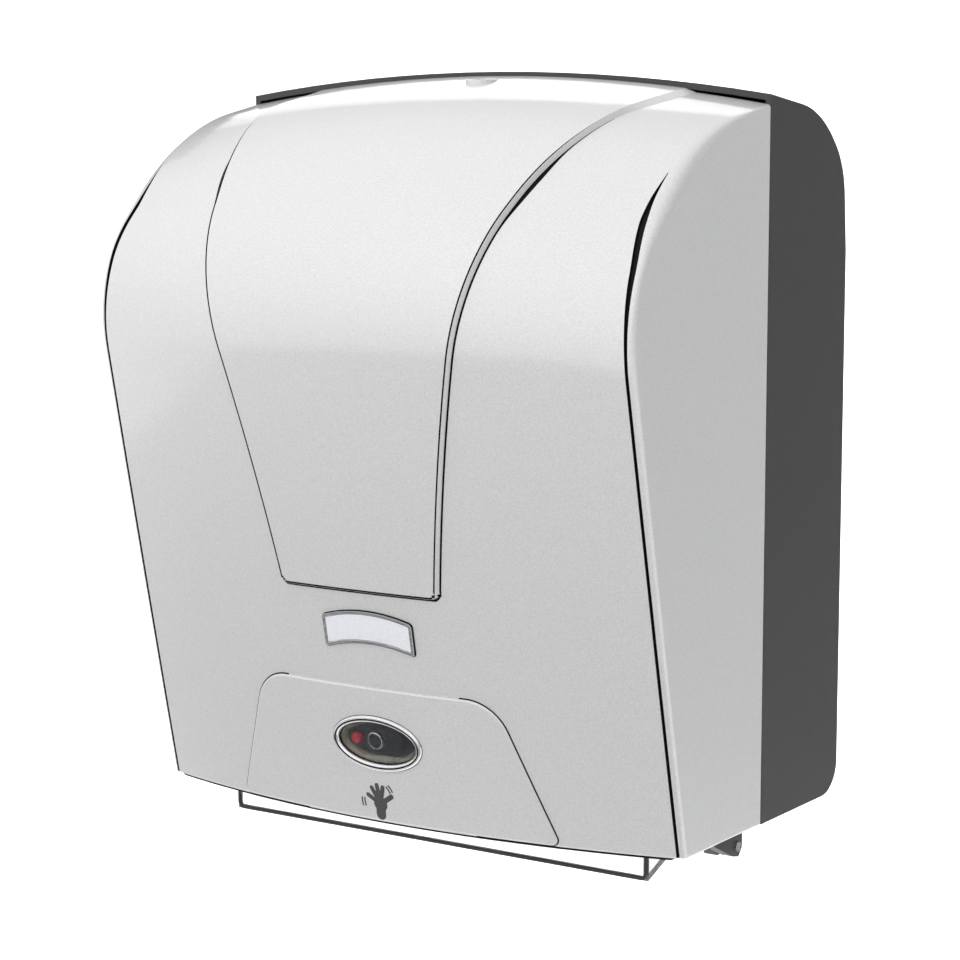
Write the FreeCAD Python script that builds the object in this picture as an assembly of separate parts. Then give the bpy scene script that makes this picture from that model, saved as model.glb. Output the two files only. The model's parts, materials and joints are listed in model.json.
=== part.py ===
import FreeCAD, Part

# Automatic roll towel dispenser for a wall. Millimetres, +Z up, the front faces -Y.
# The origin is the centre of the four wall screw holes, on the wall plane y = 0.

import math
import os

from FreeCAD import Vector

os.makedirs("parts", exist_ok=True)

# Driving dimensions of the case
case_width = 306.0
case_bottom = -176.0
split_depth = 82.0
cover_wall = 2.8
housing_wall = 3.0
cover_bow = 19.5
bow_tilt = 21.0
front_foot_depth = 156.2
crest_depth = 213.9
crest_height = 87.0
crown_depth = 152.6
crown_height = 156.3
top_slope = 12.0
crest_radius = 78.0
crown_radius = 130.0
rim_step = 3.4
housing_crest_depth = 30.0
housing_crest_radius = 60.0
housing_top_slope = 8.0
housing_shoulder_depth = 3.5
housing_shoulder_drop = 33.0
housing_shoulder_radius = 38.0
housing_back_drop = 75.0
housing_arch = 11.5
housing_heel_radius = 16.0

# Driving dimensions of the wall mount
wall_hole_spacing_x = 170.0
wall_hole_spacing_z = 230.0
wall_hole_radius = 2.75
wall_pad_half = 8.0
wall_pad_height = 3.0

# Driving dimensions of the raised middle field of the cover
field_proud = 2.5
field_foot = -58.0
field_foot_half = 45.5
field_corner = 4.0
field_waist = 20.0
field_waist_half = 58.2
field_shoulder = 118.0
field_shoulder_half = 82.5
field_top = 181.0
field_top_half = 114.0

# Driving dimensions of the sensor apron and its oval window
apron_proud = 1.2
apron_seat_gap = 0.2
apron_top = -106.5
apron_foot = -170.0
apron_top_half = 68.0
apron_foot_half = 92.0
apron_corner = 22.0
oval_height = -134.7
oval_half_width = 26.2
oval_half_height = 14.0
bezel_width = 3.6
bezel_proud = 2.6
window_gap = 0.3

# Driving dimensions of the hinge
hinge_depth = 99.0
hinge_height = -183.5
hinge_pin_radius = 2.5
hinge_running_gap = 0.05
hinge_eye_wall = 3.0
lug_setback = 4.0
lug_width = 6.5
lug_gap = 3.0
knuckle_width = 7.0
bottom_rim = 1.5
foot_rim = 6.0

# Driving dimensions of the lock
lock_setback = 14.0
lock_radius = 8.0
lock_fit = 0.06
lock_length = 15.0
lock_sink = 0.5
cam_thickness = 3.0
post_setback = 12.0
post_half = 2.5

# Driving dimensions of the roll carrier
roll_height = 62.0
roll_depth = 105.0
core_radius = 18.0
hub_length = 13.0
hub_stop_radius = 24.0
hub_stop_width = 2.5
hub_boss_radius = 7.0
vane_thickness = 3.0
arm_setback = 12.0
arm_thickness = 4.0
arm_height = 36.0
arm_nose_radius = 17.0
axle_radius = 4.0
pivot_offset = 7.0
pivot_y = -14.0
pivot_radius = 5.0
pivot_pin_radius = 2.5
running_gap = 0.05
side_gap = 0.3

# Driving dimensions of the feed mechanism
side_bay = 35.0
frame_thickness = 3.0
frame_top = -52.0
frame_back_top = -22.0
frame_bottom = -170.0
frame_front = 140.0
drive_depth = 104.0
drive_height = -118.0
drive_radius = 13.0
shaft_radius = 4.0
pinch_radius = 8.0
pinch_shaft_radius = 3.0
nip_gap = 0.4
sleeve_length = 76.0
sleeve_pitch = 110.0
sleeve_count = 2
gear_module = 1.5
drive_teeth = 26
idler_teeth = 16
pinion_teeth = 9
gear_width = 8.0
gear_backlash = 0.4
idler_direction = -20.0
motor_radius = 15.0
motor_length = 38.0
feed_wheel_radius = 16.0
feed_wheel_width = 15.0

# Driving dimensions of the tear bar and the chute
holder_back = 126.0
holder_depth = 11.0
holder_height = 13.0
holder_bottom = -154.0
blade_end_gap = 10.0
blade_thickness = 1.0
tooth_pitch = 6.0
tooth_depth = 3.5
chute_overhang = 2.8
chute_wall = 2.4
chute_rim_depth = 140.0
chute_rim_height = -195.0
chute_knee_depth = 92.0
chute_back_depth = 85.0
chute_slope = 21.0

# Driving dimensions of the battery box and the controls
cell_radius = 17.0
cell_length = 61.5
cell_clearance = 1.0
battery_wall = 2.0
battery_floor = -160.0
door_thickness = 2.0
control_depth = 120.0
control_width = 24.0
control_low = -98.0
control_high = -56.0
control_reach = 34.0
panel_thickness = 2.0
button_half = 3.0
button_travel = 1.5

half_width = case_width / 2
frame_inner = half_width - side_bay
arm_inner = frame_inner - arm_setback
pivot_x = arm_inner + pivot_offset
split_y = -split_depth
top_rise = math.tan(math.radians(top_slope))
chord_angle = 16.0


def save(name, shape):
    """Writes one sub-part, and says so if it is not a sound solid."""
    if not shape.isValid():
        print("not valid:", name)
    shape.exportStep("parts/" + name + ".step")


def box(x0, x1, y0, y1, z0, z1):
    return Part.makeBox(x1 - x0, y1 - y0, z1 - z0, Vector(x0, y0, z0))


def rod_x(radius, x0, x1, y, z):
    return Part.makeCylinder(radius, x1 - x0, Vector(x0, y, z), Vector(1, 0, 0))


def tube_x(outer, inner, x0, x1, y, z):
    return rod_x(outer, x0, x1, y, z).cut(rod_x(inner, x0 - 1, x1 + 1, y, z))


def mirrored(shape):
    return shape.mirror(Vector(0, 0, 0), Vector(1, 0, 0))


def both_sides(shape):
    """The shape and its mirror image in the middle plane, as separate solids."""
    return Part.makeCompound([shape, mirrored(shape)])


def plate_x(outline, x0, x1):
    """A plate across X from an outline of (y, z) points."""
    points = [Vector(x0, y, z) for y, z in outline]
    face = Part.Face(Part.makePolygon(points + [points[0]]))
    return face.extrude(Vector(x1 - x0, 0, 0))


def rounded_chain(points, radii, smooth=True):
    """Edges through (y, z) points in the plane x = 0, each corner an arc of its radius.

    Without smooth, each arc is a few chords with their ends on it."""
    reaches = corner_reaches(points, radii)
    edges = []
    start = Vector(0, *points[0])
    for i in range(1, len(points) - 1):
        tip = Vector(0, *points[i])
        to_before = (Vector(0, *points[i - 1]) - tip).normalize()
        to_after = (Vector(0, *points[i + 1]) - tip).normalize()
        half_angle = to_before.getAngle(to_after) / 2
        radius = reaches[i] * math.tan(half_angle)
        first = tip + to_before * reaches[i]
        last = tip + to_after * reaches[i]
        if (first - start).Length > 1e-6:
            edges.append(Part.LineSegment(start, first).toShape())
        if radius > 0:
            centre = tip + (to_before + to_after).normalize() * (radius / math.sin(half_angle))
            middle = centre + (tip - centre).normalize() * radius
            if smooth:
                edges.append(Part.Arc(first, middle, last).toShape())
            else:
                edges += chords(centre, first, last)
        start = last
    edges.append(Part.LineSegment(start, Vector(0, *points[-1])).toShape())
    return edges


def corner_reaches(points, radii):
    """How far each rounding reaches along its two sides, limited so that neighbours leave a short side."""
    reaches = [0.0] * len(points)
    for i in range(1, len(points) - 1):
        before = Vector(0, *points[i - 1]) - Vector(0, *points[i])
        after = Vector(0, *points[i + 1]) - Vector(0, *points[i])
        reaches[i] = radii[i] / math.tan(before.getAngle(after) / 2)
    shares = [1.0] * len(points)
    for i in range(len(points) - 1):
        room = 0.98 * math.dist(points[i], points[i + 1])
        wanted = reaches[i] + reaches[i + 1]
        if wanted > room:
            shares[i] = min(shares[i], room / wanted)
            shares[i + 1] = min(shares[i + 1], room / wanted)
    return [reach * share for reach, share in zip(reaches, shares)]


def chords(centre, first, last):
    """Straight edges from first to last with their ends on the arc about centre."""
    arm = first - centre
    turn = math.degrees(arm.getAngle(last - centre))
    sign = 1 if arm.cross(last - centre).x > 0 else -1
    count = math.ceil(turn / chord_angle)
    edges = []
    here = first
    for i in range(1, count + 1):
        rotation = FreeCAD.Rotation(Vector(1, 0, 0), sign * turn * i / count)
        there = centre + rotation.multVec(arm)
        edges.append(Part.LineSegment(here, there).toShape())
        here = there
    return edges


def closed_face(edges):
    return Part.Face(Part.Wire(Part.sortEdges(edges)[0]))


# The front bows about an axis far behind the wall that leans back, so the top is arched as well
tilt_cos = math.cos(math.radians(bow_tilt))
tilt_sin = math.sin(math.radians(bow_tilt))


def bow_travel(depth, height):
    """How far back and down a point of a side view lies along the bow's radius."""
    return -depth * tilt_cos - height * tilt_sin


bow_reach = (half_width ** 2 - cover_bow ** 2) / (2 * cover_bow) + bow_travel(crest_depth, crest_height)
bow_axis_point = Vector(0, bow_reach * tilt_cos, -bow_reach * tilt_sin)
bow_axis = Vector(0, tilt_sin, tilt_cos)


def at_middle(depth, height):
    """Moves a point of the side outline to the middle of the bowed front."""
    radius = bow_reach - bow_travel(depth, height)
    shift = math.hypot(half_width, radius) - radius
    return (-depth - shift * tilt_cos, height + shift * tilt_sin)


# Outline of the cover's front in the middle plane, open at the back and cut off at the case's bottom
outline_reach = 60.0
foot = at_middle(front_foot_depth, case_bottom)
crest = at_middle(crest_depth, crest_height)
crown = at_middle(crown_depth, crown_height)
front_lean = math.atan2(foot[0] - crest[0], crest[1] - foot[1])
outline_low = case_bottom - outline_reach / 2
cover_top = crown[1] + (split_y - crown[0]) * top_rise
cover_outline = [
    (split_y + outline_reach, outline_low),
    (foot[0] + (foot[1] - outline_low) * math.tan(front_lean), outline_low),
    crest,
    crown,
    (split_y + outline_reach, cover_top + outline_reach * top_rise),
]
cover_radii = [0, 0, crest_radius, crown_radius, 0]


def inset_outline(points, inset):
    """Moves each side of an open outline inwards, with its ends kept in line."""
    moved = []
    for i, (y, z) in enumerate(points):
        normals = []
        for a, b in ((points[max(i - 1, 0)], (y, z)), ((y, z), points[min(i + 1, len(points) - 1)])):
            length = math.hypot(b[0] - a[0], b[1] - a[1])
            if length > 0:
                normals.append(((b[1] - a[1]) / length, -(b[0] - a[0]) / length))
        if len(normals) == 1:
            moved.append((y, z + inset / normals[0][1]))
        else:
            share = 1 + normals[0][0] * normals[1][0] + normals[0][1] * normals[1][1]
            step_y = (normals[0][0] + normals[1][0]) / share
            step_z = (normals[0][1] + normals[1][1]) / share
            moved.append((y + inset * step_y, z + inset * step_z))
    return moved


def cover_form(inset, smooth=True):
    """The bowed front form of the cover, moved inwards by inset, up to the split."""
    points = inset_outline(cover_outline, inset)
    radii = [max(r - inset, 0) for r in cover_radii]
    radii[0] = 0
    radii[-1] = 0
    edges = rounded_chain(points, radii, smooth)
    edges.append(Part.LineSegment(Vector(0, *points[-1]), Vector(0, *points[0])).toShape())
    face = Part.Face(Part.Wire(edges))
    least_radius = bow_reach - bow_travel(-points[0][0], points[0][1])
    sweep = 2 * math.degrees(math.asin(half_width / least_radius)) + 2
    face.rotate(bow_axis_point, bow_axis, -sweep / 2)
    turned = face.revolve(bow_axis_point, bow_axis, sweep)
    side = half_width - max(inset, 0)
    return turned.common(box(-side, side, -2 * crest_depth, split_y, case_bottom + max(inset, 0), 2 * crest_depth))


def extruded_to_split(face):
    """Extrudes a face that stands across Y from in front of the case back to the split."""
    face.translate(Vector(0, -2 * crest_depth, 0))
    return face.extrude(Vector(0, 2 * crest_depth + split_y, 0))


def field_prism():
    """The outline of the raised middle field: a narrow foot and flanks that sweep outwards."""
    foot = Vector(field_foot_half, 0, field_foot + field_corner)
    waist = Vector(field_waist_half, 0, field_waist)
    shoulder = Vector(field_shoulder_half, 0, field_shoulder)
    top = Vector(field_top_half, 0, field_top)
    lower = Part.Arc(foot, waist, shoulder)
    direction = lower.tangent(lower.LastParameter)[0]
    chord = top - shoulder
    across = Vector(direction.z, 0, -direction.x)
    radius = chord.Length ** 2 / (2 * chord.dot(across))
    centre = shoulder + across * radius
    middle = centre + ((shoulder + top) * 0.5 - centre).normalize() * radius
    upper = Part.Arc(shoulder, middle, top)
    rise = upper.tangent(upper.LastParameter)[0]
    crest = top + rise * (30.0 / rise.z)
    inner_foot = Vector(field_foot_half - field_corner, 0, field_foot)
    right = [
        Part.LineSegment(inner_foot, foot).toShape(),
        lower.toShape(),
        upper.toShape(),
        Part.LineSegment(top, crest).toShape(),
    ]
    across_foot = Part.LineSegment(Vector(-inner_foot.x, 0, inner_foot.z), inner_foot).toShape()
    across_top = Part.LineSegment(Vector(-crest.x, 0, crest.z), crest).toShape()
    return extruded_to_split(closed_face(right + [mirrored(e) for e in right] + [across_foot, across_top]))


def apron_prism():
    """The apron's outline: wide at the foot, with large rounded upper corners."""
    slope = (apron_foot_half - apron_top_half) / (apron_top - apron_foot)
    low = apron_foot - 20.0
    low_half = apron_foot_half + 20.0 * slope
    corners = [(-low_half, low), (-apron_top_half, apron_top), (apron_top_half, apron_top), (low_half, low)]
    edges = rounded_chain(corners, [0, apron_corner, apron_corner, 0])
    edges.append(Part.LineSegment(Vector(0, *corners[-1]), Vector(0, *corners[0])).toShape())
    face = Part.Face(Part.Wire(edges))
    face.rotate(Vector(0, 0, 0), Vector(0, 0, 1), -90)
    return extruded_to_split(face)


# The oval window lies square to the leaning front, in the middle of the apron
oval_y = foot[0] - math.tan(front_lean) * (oval_height - foot[1])
front_normal = Vector(0, -math.cos(front_lean), -math.sin(front_lean))


def oval(margin, start, end):
    """An oval bar square to the front, smaller than the ring by margin, from start to end."""
    ellipse = Part.Ellipse(Vector(0, 0, 0), oval_half_width - margin, oval_half_height - margin)
    face = Part.Face(Part.Wire([ellipse.toShape()]))
    face.rotate(Vector(0, 0, 0), Vector(1, 0, 0), 90 + math.degrees(front_lean))
    face.translate(Vector(0, oval_y, oval_height) + front_normal * start)
    return face.extrude(front_normal * (end - start))


def front_rod(radius, x, start, end):
    """A round bar square to the front, x to the side of the oval's middle."""
    base = Vector(x, oval_y, oval_height) + front_normal * start
    return Part.makeCylinder(radius, end - start, base, front_normal)


def front_block(half_x, half_up, start, end):
    """A block square to the front, centred on the oval."""
    block = box(-half_x, half_x, -end, -start, -half_up, half_up)
    block.rotate(Vector(0, 0, 0), Vector(1, 0, 0), math.degrees(front_lean))
    block.translate(Vector(0, oval_y, oval_height))
    return block


# Cover body
ear_outer = half_width - lug_setback
ear_inner = ear_outer - lug_width
bottom_opening_half = ear_inner - bottom_rim
bottom_opening_depth = front_foot_depth - foot_rim
lock_y = split_y - lock_setback
lock_top = cover_top - lock_setback * top_rise + field_proud - lock_sink
lock_bottom = lock_top - lock_length


def build_cover():
    """The moulded cover: a bowed shell with a raised middle field and an open bottom."""
    shell = cover_form(0).fuse(cover_form(-field_proud).common(field_prism()))
    shell = shell.cut(cover_form(cover_wall, False))
    opening = box(-bottom_opening_half, bottom_opening_half, -bottom_opening_depth, split_y + 1,
                  case_bottom - 1, case_bottom + cover_wall + 1)
    shell = shell.cut(opening).cut(oval(bezel_width, -20, 20))
    lock_hole = Part.makeCylinder(lock_radius + lock_fit, 2 * lock_length, Vector(0, lock_y, lock_bottom))
    return shell.cut(lock_hole).removeSplitter()


def build_apron():
    """The sensor apron, a curved skin with an oval hole, seated on the cover's lower front."""
    skin = cover_form(-apron_proud).cut(cover_form(-apron_seat_gap)).common(apron_prism())
    skin = skin.common(box(-half_width, half_width, -2 * crest_depth, split_y, apron_foot, 0))
    return skin.cut(oval(bezel_width, -20, 20))


def build_bezel():
    """The chrome oval ring that stands on the apron."""
    return oval(0, apron_proud, bezel_proud).cut(oval(bezel_width, 0, 9))


def build_window():
    """The clear oval window inside the ring."""
    return oval(bezel_width + window_gap, 0.2, 1.6)


sensor_front = -cover_wall - 2 * side_gap
sensor_back = sensor_front - 11.0


def build_sensor_housing():
    return front_block(19.0, 7.6, sensor_back, sensor_front)


def build_sensor_lenses():
    """The receiver's and the emitter's lens tubes."""
    return Part.makeCompound([front_rod(3.2, x, sensor_front, sensor_front + 2.4) for x in (-2.5, 10.5)])


def build_led():
    return front_rod(2.5, -14.0, sensor_front, sensor_front + 2.2)


def build_sensor_board():
    board = front_block(26.0, 12.0, sensor_back - 1.6, sensor_back)
    return board.fuse(front_block(8.0, 5.0, sensor_back - 6.0, sensor_back - 1.6)).removeSplitter()


# Hinge
hinge_eye_radius = hinge_pin_radius + hinge_eye_wall
knuckle_outer = ear_inner - lug_gap
knuckle_inner = knuckle_outer - knuckle_width


def build_hinge_ears():
    """The dark gusseted ears under the cover's lower corners, which turn on the hinge pins."""
    fin = [
        (-hinge_depth - 28.0, case_bottom),
        (-hinge_depth - 3.0, hinge_height - hinge_eye_radius + 1.0),
        (-hinge_depth + 2.0, hinge_height - hinge_eye_radius),
        (-hinge_depth + hinge_eye_radius, hinge_height - 1.5),
        (-hinge_depth + hinge_eye_radius, case_bottom),
    ]
    ear = plate_x(fin, ear_inner, ear_outer)
    bore = rod_x(hinge_pin_radius + hinge_running_gap, ear_inner - 1, ear_outer + 1, -hinge_depth, hinge_height)
    return both_sides(ear.cut(bore))


def hinge_knuckle():
    """A knuckle at +X under the housing's floor, in front of the split."""
    web = [
        (split_y + 24.0, case_bottom + 1.0),
        (split_y + 1.0, case_bottom + 1.0),
        (-hinge_depth - 1.0, hinge_height + hinge_eye_radius - 0.6),
        (-hinge_depth - hinge_eye_radius, hinge_height + 2.0),
        (-hinge_depth - hinge_eye_radius, hinge_height - 2.0),
        (-hinge_depth - 2.0, hinge_height - hinge_eye_radius),
        (-hinge_depth + 4.0, hinge_height - hinge_eye_radius),
        (split_y + 24.0, case_bottom - 1.0),
    ]
    knuckle = plate_x(web, knuckle_inner, knuckle_outer)
    bore = rod_x(hinge_pin_radius, knuckle_inner - 1, knuckle_outer + 1, -hinge_depth, hinge_height)
    return knuckle.cut(bore)


def build_hinge_pins():
    return both_sides(rod_x(hinge_pin_radius, knuckle_inner, ear_outer + 1.0, -hinge_depth, hinge_height))


# Lock
post_distance = lock_setback + post_setback
hook_inner = post_distance + post_half + 1.5
hook_outer = hook_inner + 5.0
hook_half_span = 17.0
hook_spoke_span = 9.0
lock_turn = 70.0


def build_lock_barrel():
    """The lock's turning barrel, with a plain key slot in its face."""
    barrel = Part.makeCylinder(lock_radius, lock_top - lock_bottom, Vector(0, lock_y, lock_bottom))
    return barrel.cut(box(-4.5, 4.5, lock_y - 1.1, lock_y + 1.1, lock_top - 6, lock_top + 1))


def build_lock_cam():
    """A flat hook under the barrel. At rest it is turned away from the housing's post."""
    z = lock_bottom - cam_thickness

    def polar(radius, angle):
        turn = math.radians(angle - lock_turn)
        return Vector(radius * math.cos(turn), lock_y + radius * math.sin(turn), z)

    low, high = 90 - hook_half_span, 90 + hook_half_span
    outline = [polar(hook_outer, angle) for angle in (low, 90, high)]
    outline += [polar(hook_inner, angle) for angle in (high, 90, low + hook_spoke_span)]
    outline += [polar(lock_radius, low + 20 + i * 40) for i in range(9)]
    return Part.Face(Part.makePolygon(outline + [outline[0]])).extrude(Vector(0, 0, cam_thickness))


# Rear housing
housing_top = cover_top + rim_step
arch_radius = (half_width ** 2 + housing_arch ** 2) / (2 * housing_arch)
housing_fall = (split_depth - housing_crest_depth) * math.tan(math.radians(housing_top_slope))
housing_outline = [
    (split_y, housing_top),
    (-housing_crest_depth, housing_top - housing_fall),
    (-housing_shoulder_depth, housing_top - housing_shoulder_drop),
    (0.0, housing_top - housing_back_drop),
    (0.0, 2 * case_bottom),
]
housing_radii = [0, housing_crest_radius, housing_shoulder_radius, 0, 0]


def housing_form(inset, smooth=True):
    """The rear housing's form moved inwards by inset, open to the split plane."""
    front = split_y - (1 if inset > 0 else 0)
    points = [(front, housing_outline[0][1] - inset)]
    points.append((housing_outline[1][0] - inset * 0.4, housing_outline[1][1] - inset))
    points += [(y - inset, z - inset * 0.4) for y, z in housing_outline[2:]]
    radii = [max(r - inset, 0) for r in housing_radii]
    radii[0] = 0
    radii[-1] = 0
    edges = rounded_chain(points, radii, smooth)
    low = Vector(0, front, points[-1][1])
    edges.append(Part.LineSegment(Vector(0, *points[-1]), low).toShape())
    edges.append(Part.LineSegment(low, Vector(0, *points[0])).toShape())
    face = Part.Face(Part.Wire(edges))
    axis_point = Vector(0, 0, housing_top - arch_radius)
    least_radius = arch_radius - housing_top + points[-1][1]
    sweep = 2 * math.degrees(math.asin(half_width / least_radius)) + 2
    face.rotate(axis_point, Vector(0, 1, 0), -sweep / 2)
    turned = face.revolve(axis_point, Vector(0, 1, 0), sweep)
    side = half_width - inset
    body = turned.common(box(-side, side, -2 * split_depth, 1, case_bottom + inset, 2 * housing_top))
    heel = [e for e in body.Edges
            if abs(e.CenterOfMass.y + inset) < 0.01 and abs(e.CenterOfMass.z - case_bottom - inset) < 0.01]
    return body.makeFillet(housing_heel_radius - inset, heel)


def wall_hole_places():
    return [(sx * wall_hole_spacing_x / 2, sz * wall_hole_spacing_z / 2) for sx in (-1, 1) for sz in (-1, 1)]


def build_housing():
    """The dark rear housing: a deep tray with screw pads, hinge knuckles and the lock's post."""
    tray = housing_form(0).cut(housing_form(housing_wall, False))
    for x, z in wall_hole_places():
        tray = tray.fuse(box(x - wall_pad_half, x + wall_pad_half, -housing_wall - wall_pad_height,
                             -housing_wall + 0.5, z - wall_pad_half, z + wall_pad_half))
    for x, z in wall_hole_places():
        tray = tray.cut(Part.makeCylinder(wall_hole_radius, 20, Vector(x, 5, z), Vector(0, -1, 0)))
    post_y = split_y + post_setback
    post = box(-post_half, post_half, post_y - post_half, post_y + post_half,
               lock_bottom - cam_thickness - 0.5, housing_top - 1.5)
    return tray.fuse([hinge_knuckle(), mirrored(hinge_knuckle()), post]).removeSplitter()


# Side frames of the feed mechanism
frame_outer = frame_inner + frame_thickness
bush_radius = 7.0
bush_fit = 0.05
heel_clear = housing_heel_radius + 1.0
pinch_y = -drive_depth - drive_radius - nip_gap - pinch_radius
pinch_pivot_y = pinch_y
pinch_pivot_z = drive_height + 32.0
pinch_pivot_radius = 2.5
idler_turn = math.radians(idler_direction)
idler_distance = gear_module * (drive_teeth + idler_teeth) / 2
idler_y = -drive_depth + idler_distance * math.cos(idler_turn)
idler_z = drive_height + idler_distance * math.sin(idler_turn)
motor_y = idler_y + gear_module * (idler_teeth + pinion_teeth) / 2
motor_z = idler_z
gear_x0 = frame_outer + 1.5
gear_x1 = gear_x0 + gear_width
plate_inner = gear_x1 + 1.5
plate_thickness = 2.5
plate_outer = plate_inner + plate_thickness
idler_axle_radius = 2.5
motor_shaft_radius = 1.5
motor_boss_radius = 5.0
foot_width = 10.0
foot_thickness = 3.0
screw_radius = 1.5
frame_screw_heights = (case_bottom + 26.0, frame_back_top - 10.0)


def side_frame():
    """One mechanism cheek at +X with its bearing holes and a foot on the housing's back wall."""
    back = -housing_wall
    outline = [
        (back, case_bottom + heel_clear),
        (back, frame_back_top),
        (back - 27.0, frame_back_top),
        (back - 67.0, frame_top),
        (-frame_front + 18.0, frame_top - 10.0),
        (-frame_front, frame_top - 30.0),
        (-frame_front, frame_bottom + 28.0),
        (-frame_front + 30.0, frame_bottom),
        (back - heel_clear, frame_bottom),
    ]
    cheek = plate_x(outline, frame_inner, frame_outer)
    foot = box(frame_outer, frame_outer + foot_width, back - foot_thickness, back,
               case_bottom + heel_clear, frame_back_top)
    for z in frame_screw_heights:
        foot = foot.cut(hexagon_y(screw_radius + running_gap, Vector(frame_outer + foot_width / 2, 0, z), -20.0))
    cheek = cheek.fuse(foot)
    cheek = cheek.cut(rod_x(bush_radius, frame_inner - 1, frame_outer + 1, -drive_depth, drive_height))
    return cheek.cut(rod_x(pinch_pivot_radius + running_gap, frame_inner - 1, frame_outer + 1,
                           pinch_pivot_y, pinch_pivot_z))


def build_right_frame():
    cheek = side_frame()
    cheek = cheek.cut(rod_x(idler_axle_radius, frame_inner - 1, frame_outer + 1, idler_y, idler_z))
    cheek = cheek.cut(rod_x(motor_boss_radius + running_gap, frame_inner - 1, frame_outer + 1, motor_y, motor_z))
    return cheek.removeSplitter()


def build_left_frame():
    return mirrored(side_frame()).removeSplitter()


def build_frame_screws():
    """Hexagon-headed screws through the feet of the two side frames."""
    screws = []
    for z in frame_screw_heights:
        centre = Vector(frame_outer + foot_width / 2, -housing_wall - foot_thickness, z)
        head = hexagon_y(3.0, centre, -2.2)
        screws.append(head.fuse(hexagon_y(screw_radius, centre, foot_thickness)))
    return both_sides(Part.makeCompound(screws))


def hexagon_y(radius, centre, length):
    """A hexagonal bar along Y from centre."""
    points = []
    for i in range(7):
        angle = i * math.pi / 3
        points.append(centre + Vector(radius * math.cos(angle), 0, radius * math.sin(angle)))
    return Part.Face(Part.makePolygon(points)).extrude(Vector(0, length, 0))


def gear(teeth, y, z, bore, phase):
    """A spur gear along X with straight-flanked teeth about its true pitch circle."""
    pitch_radius = gear_module * teeth / 2
    tip = pitch_radius + 0.85 * gear_module
    root = pitch_radius - 1.15 * gear_module
    step = 2 * math.pi / teeth
    half_pitch = step / 4 - gear_backlash / 2 / pitch_radius
    half_tip = half_pitch - 0.36 * 0.95 * gear_module / tip
    half_root = min(half_pitch + 0.36 * 0.9 * gear_module / root, step / 2 - 0.03)
    points = []
    for i in range(teeth):
        for radius, offset in ((root, -half_root), (tip, -half_tip), (tip, half_tip), (root, half_root)):
            angle = phase + i * step + offset
            points.append(Vector(gear_x0, y + radius * math.cos(angle), z + radius * math.sin(angle)))
    blank = Part.Face(Part.makePolygon(points + [points[0]])).extrude(Vector(gear_width, 0, 0))
    return blank.cut(rod_x(bore, gear_x0 - 1, gear_x1 + 1, y, z))


def build_drive_gear():
    """The large gear, with a hub that reaches the outer bearing plate."""
    wheel = gear(drive_teeth, -drive_depth, drive_height, shaft_radius, idler_turn)
    hub = tube_x(6.5, shaft_radius, gear_x1 - 0.5, plate_inner - side_gap, -drive_depth, drive_height)
    return wheel.fuse(hub).removeSplitter()


# A gap of the idler faces a tooth of the drive gear, and a tooth of the pinion a gap of the idler
idler_phase = idler_turn + math.pi + math.pi / idler_teeth
idler_step = 2 * math.pi / idler_teeth
idler_lag = (-idler_phase / idler_step) % 1.0
pinion_phase = math.pi + (idler_lag - 0.5) * 2 * math.pi / pinion_teeth


def build_idler_gear():
    return gear(idler_teeth, idler_y, idler_z, idler_axle_radius + running_gap, idler_phase)


def build_pinion():
    """The motor's pinion with its shaft, which stands in the motor's boss."""
    pinion = gear(pinion_teeth, motor_y, motor_z, motor_shaft_radius, pinion_phase)
    return pinion.fuse(rod_x(motor_shaft_radius, frame_inner, gear_x1, motor_y, motor_z)).removeSplitter()


def build_gear_plate():
    """The outer bearing plate, on three legs that stand on the right side frame."""
    back = motor_y + 20.0
    outline = [
        (-drive_depth - 20.0, drive_height - 14.0),
        (-drive_depth - 20.0, drive_height + 16.0),
        (-drive_depth - 4.0, drive_height + 32.0),
        (back, drive_height + 14.0),
        (back, drive_height - 38.0),
        (-drive_depth + 8.0, drive_height - 38.0),
    ]
    plate = plate_x(outline, plate_inner, plate_outer)
    legs = [(-drive_depth + 16.0, drive_height + 26.0), (motor_y + 14.0, motor_z + 17.0),
            (-drive_depth + 16.0, drive_height - 32.0)]
    for y, z in legs:
        plate = plate.fuse(box(frame_outer, plate_inner + 0.5, y - 3, y + 3, z - 3, z + 3))
    plate = plate.cut(rod_x(shaft_radius + running_gap, plate_inner - 1, plate_outer + 1, -drive_depth, drive_height))
    return plate.cut(rod_x(idler_axle_radius, plate_inner - 1, plate_outer + 1, idler_y, idler_z)).removeSplitter()


def build_motor():
    """The gear motor: a can with two flats and a front boss, which holds the pinion's shaft."""
    x1 = frame_inner
    flat = motor_radius * 0.8
    can = rod_x(motor_radius, x1 - motor_length, x1, motor_y, motor_z)
    can = can.common(box(x1 - motor_length, x1, motor_y - 20, motor_y + 20, motor_z - flat, motor_z + flat))
    can = can.fuse(rod_x(motor_boss_radius, x1 - 1, frame_outer, motor_y, motor_z))
    can = can.cut(rod_x(motor_shaft_radius + running_gap, x1, frame_outer + 1, motor_y, motor_z))
    for side in (-1, 1):
        can = can.fuse(box(x1 - motor_length - 5, x1 - motor_length + 0.5, motor_y + side * 8 - 2,
                           motor_y + side * 8 + 2, motor_z - 0.4, motor_z + 0.4))
    return can.removeSplitter()


wheel_outer = -frame_outer - 3.0 - feed_wheel_width


def build_drive_shaft():
    return rod_x(shaft_radius, wheel_outer, plate_outer, -drive_depth, drive_height)


def sleeve_group(outer, inner, y, z, shortening):
    """The row of sleeves along a shaft."""
    first = -sleeve_pitch * (sleeve_count - 1) / 2
    half = sleeve_length / 2 - shortening
    return Part.makeCompound([tube_x(outer, inner, first + i * sleeve_pitch - half, first + i * sleeve_pitch + half, y, z)
                              for i in range(sleeve_count)])


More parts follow.
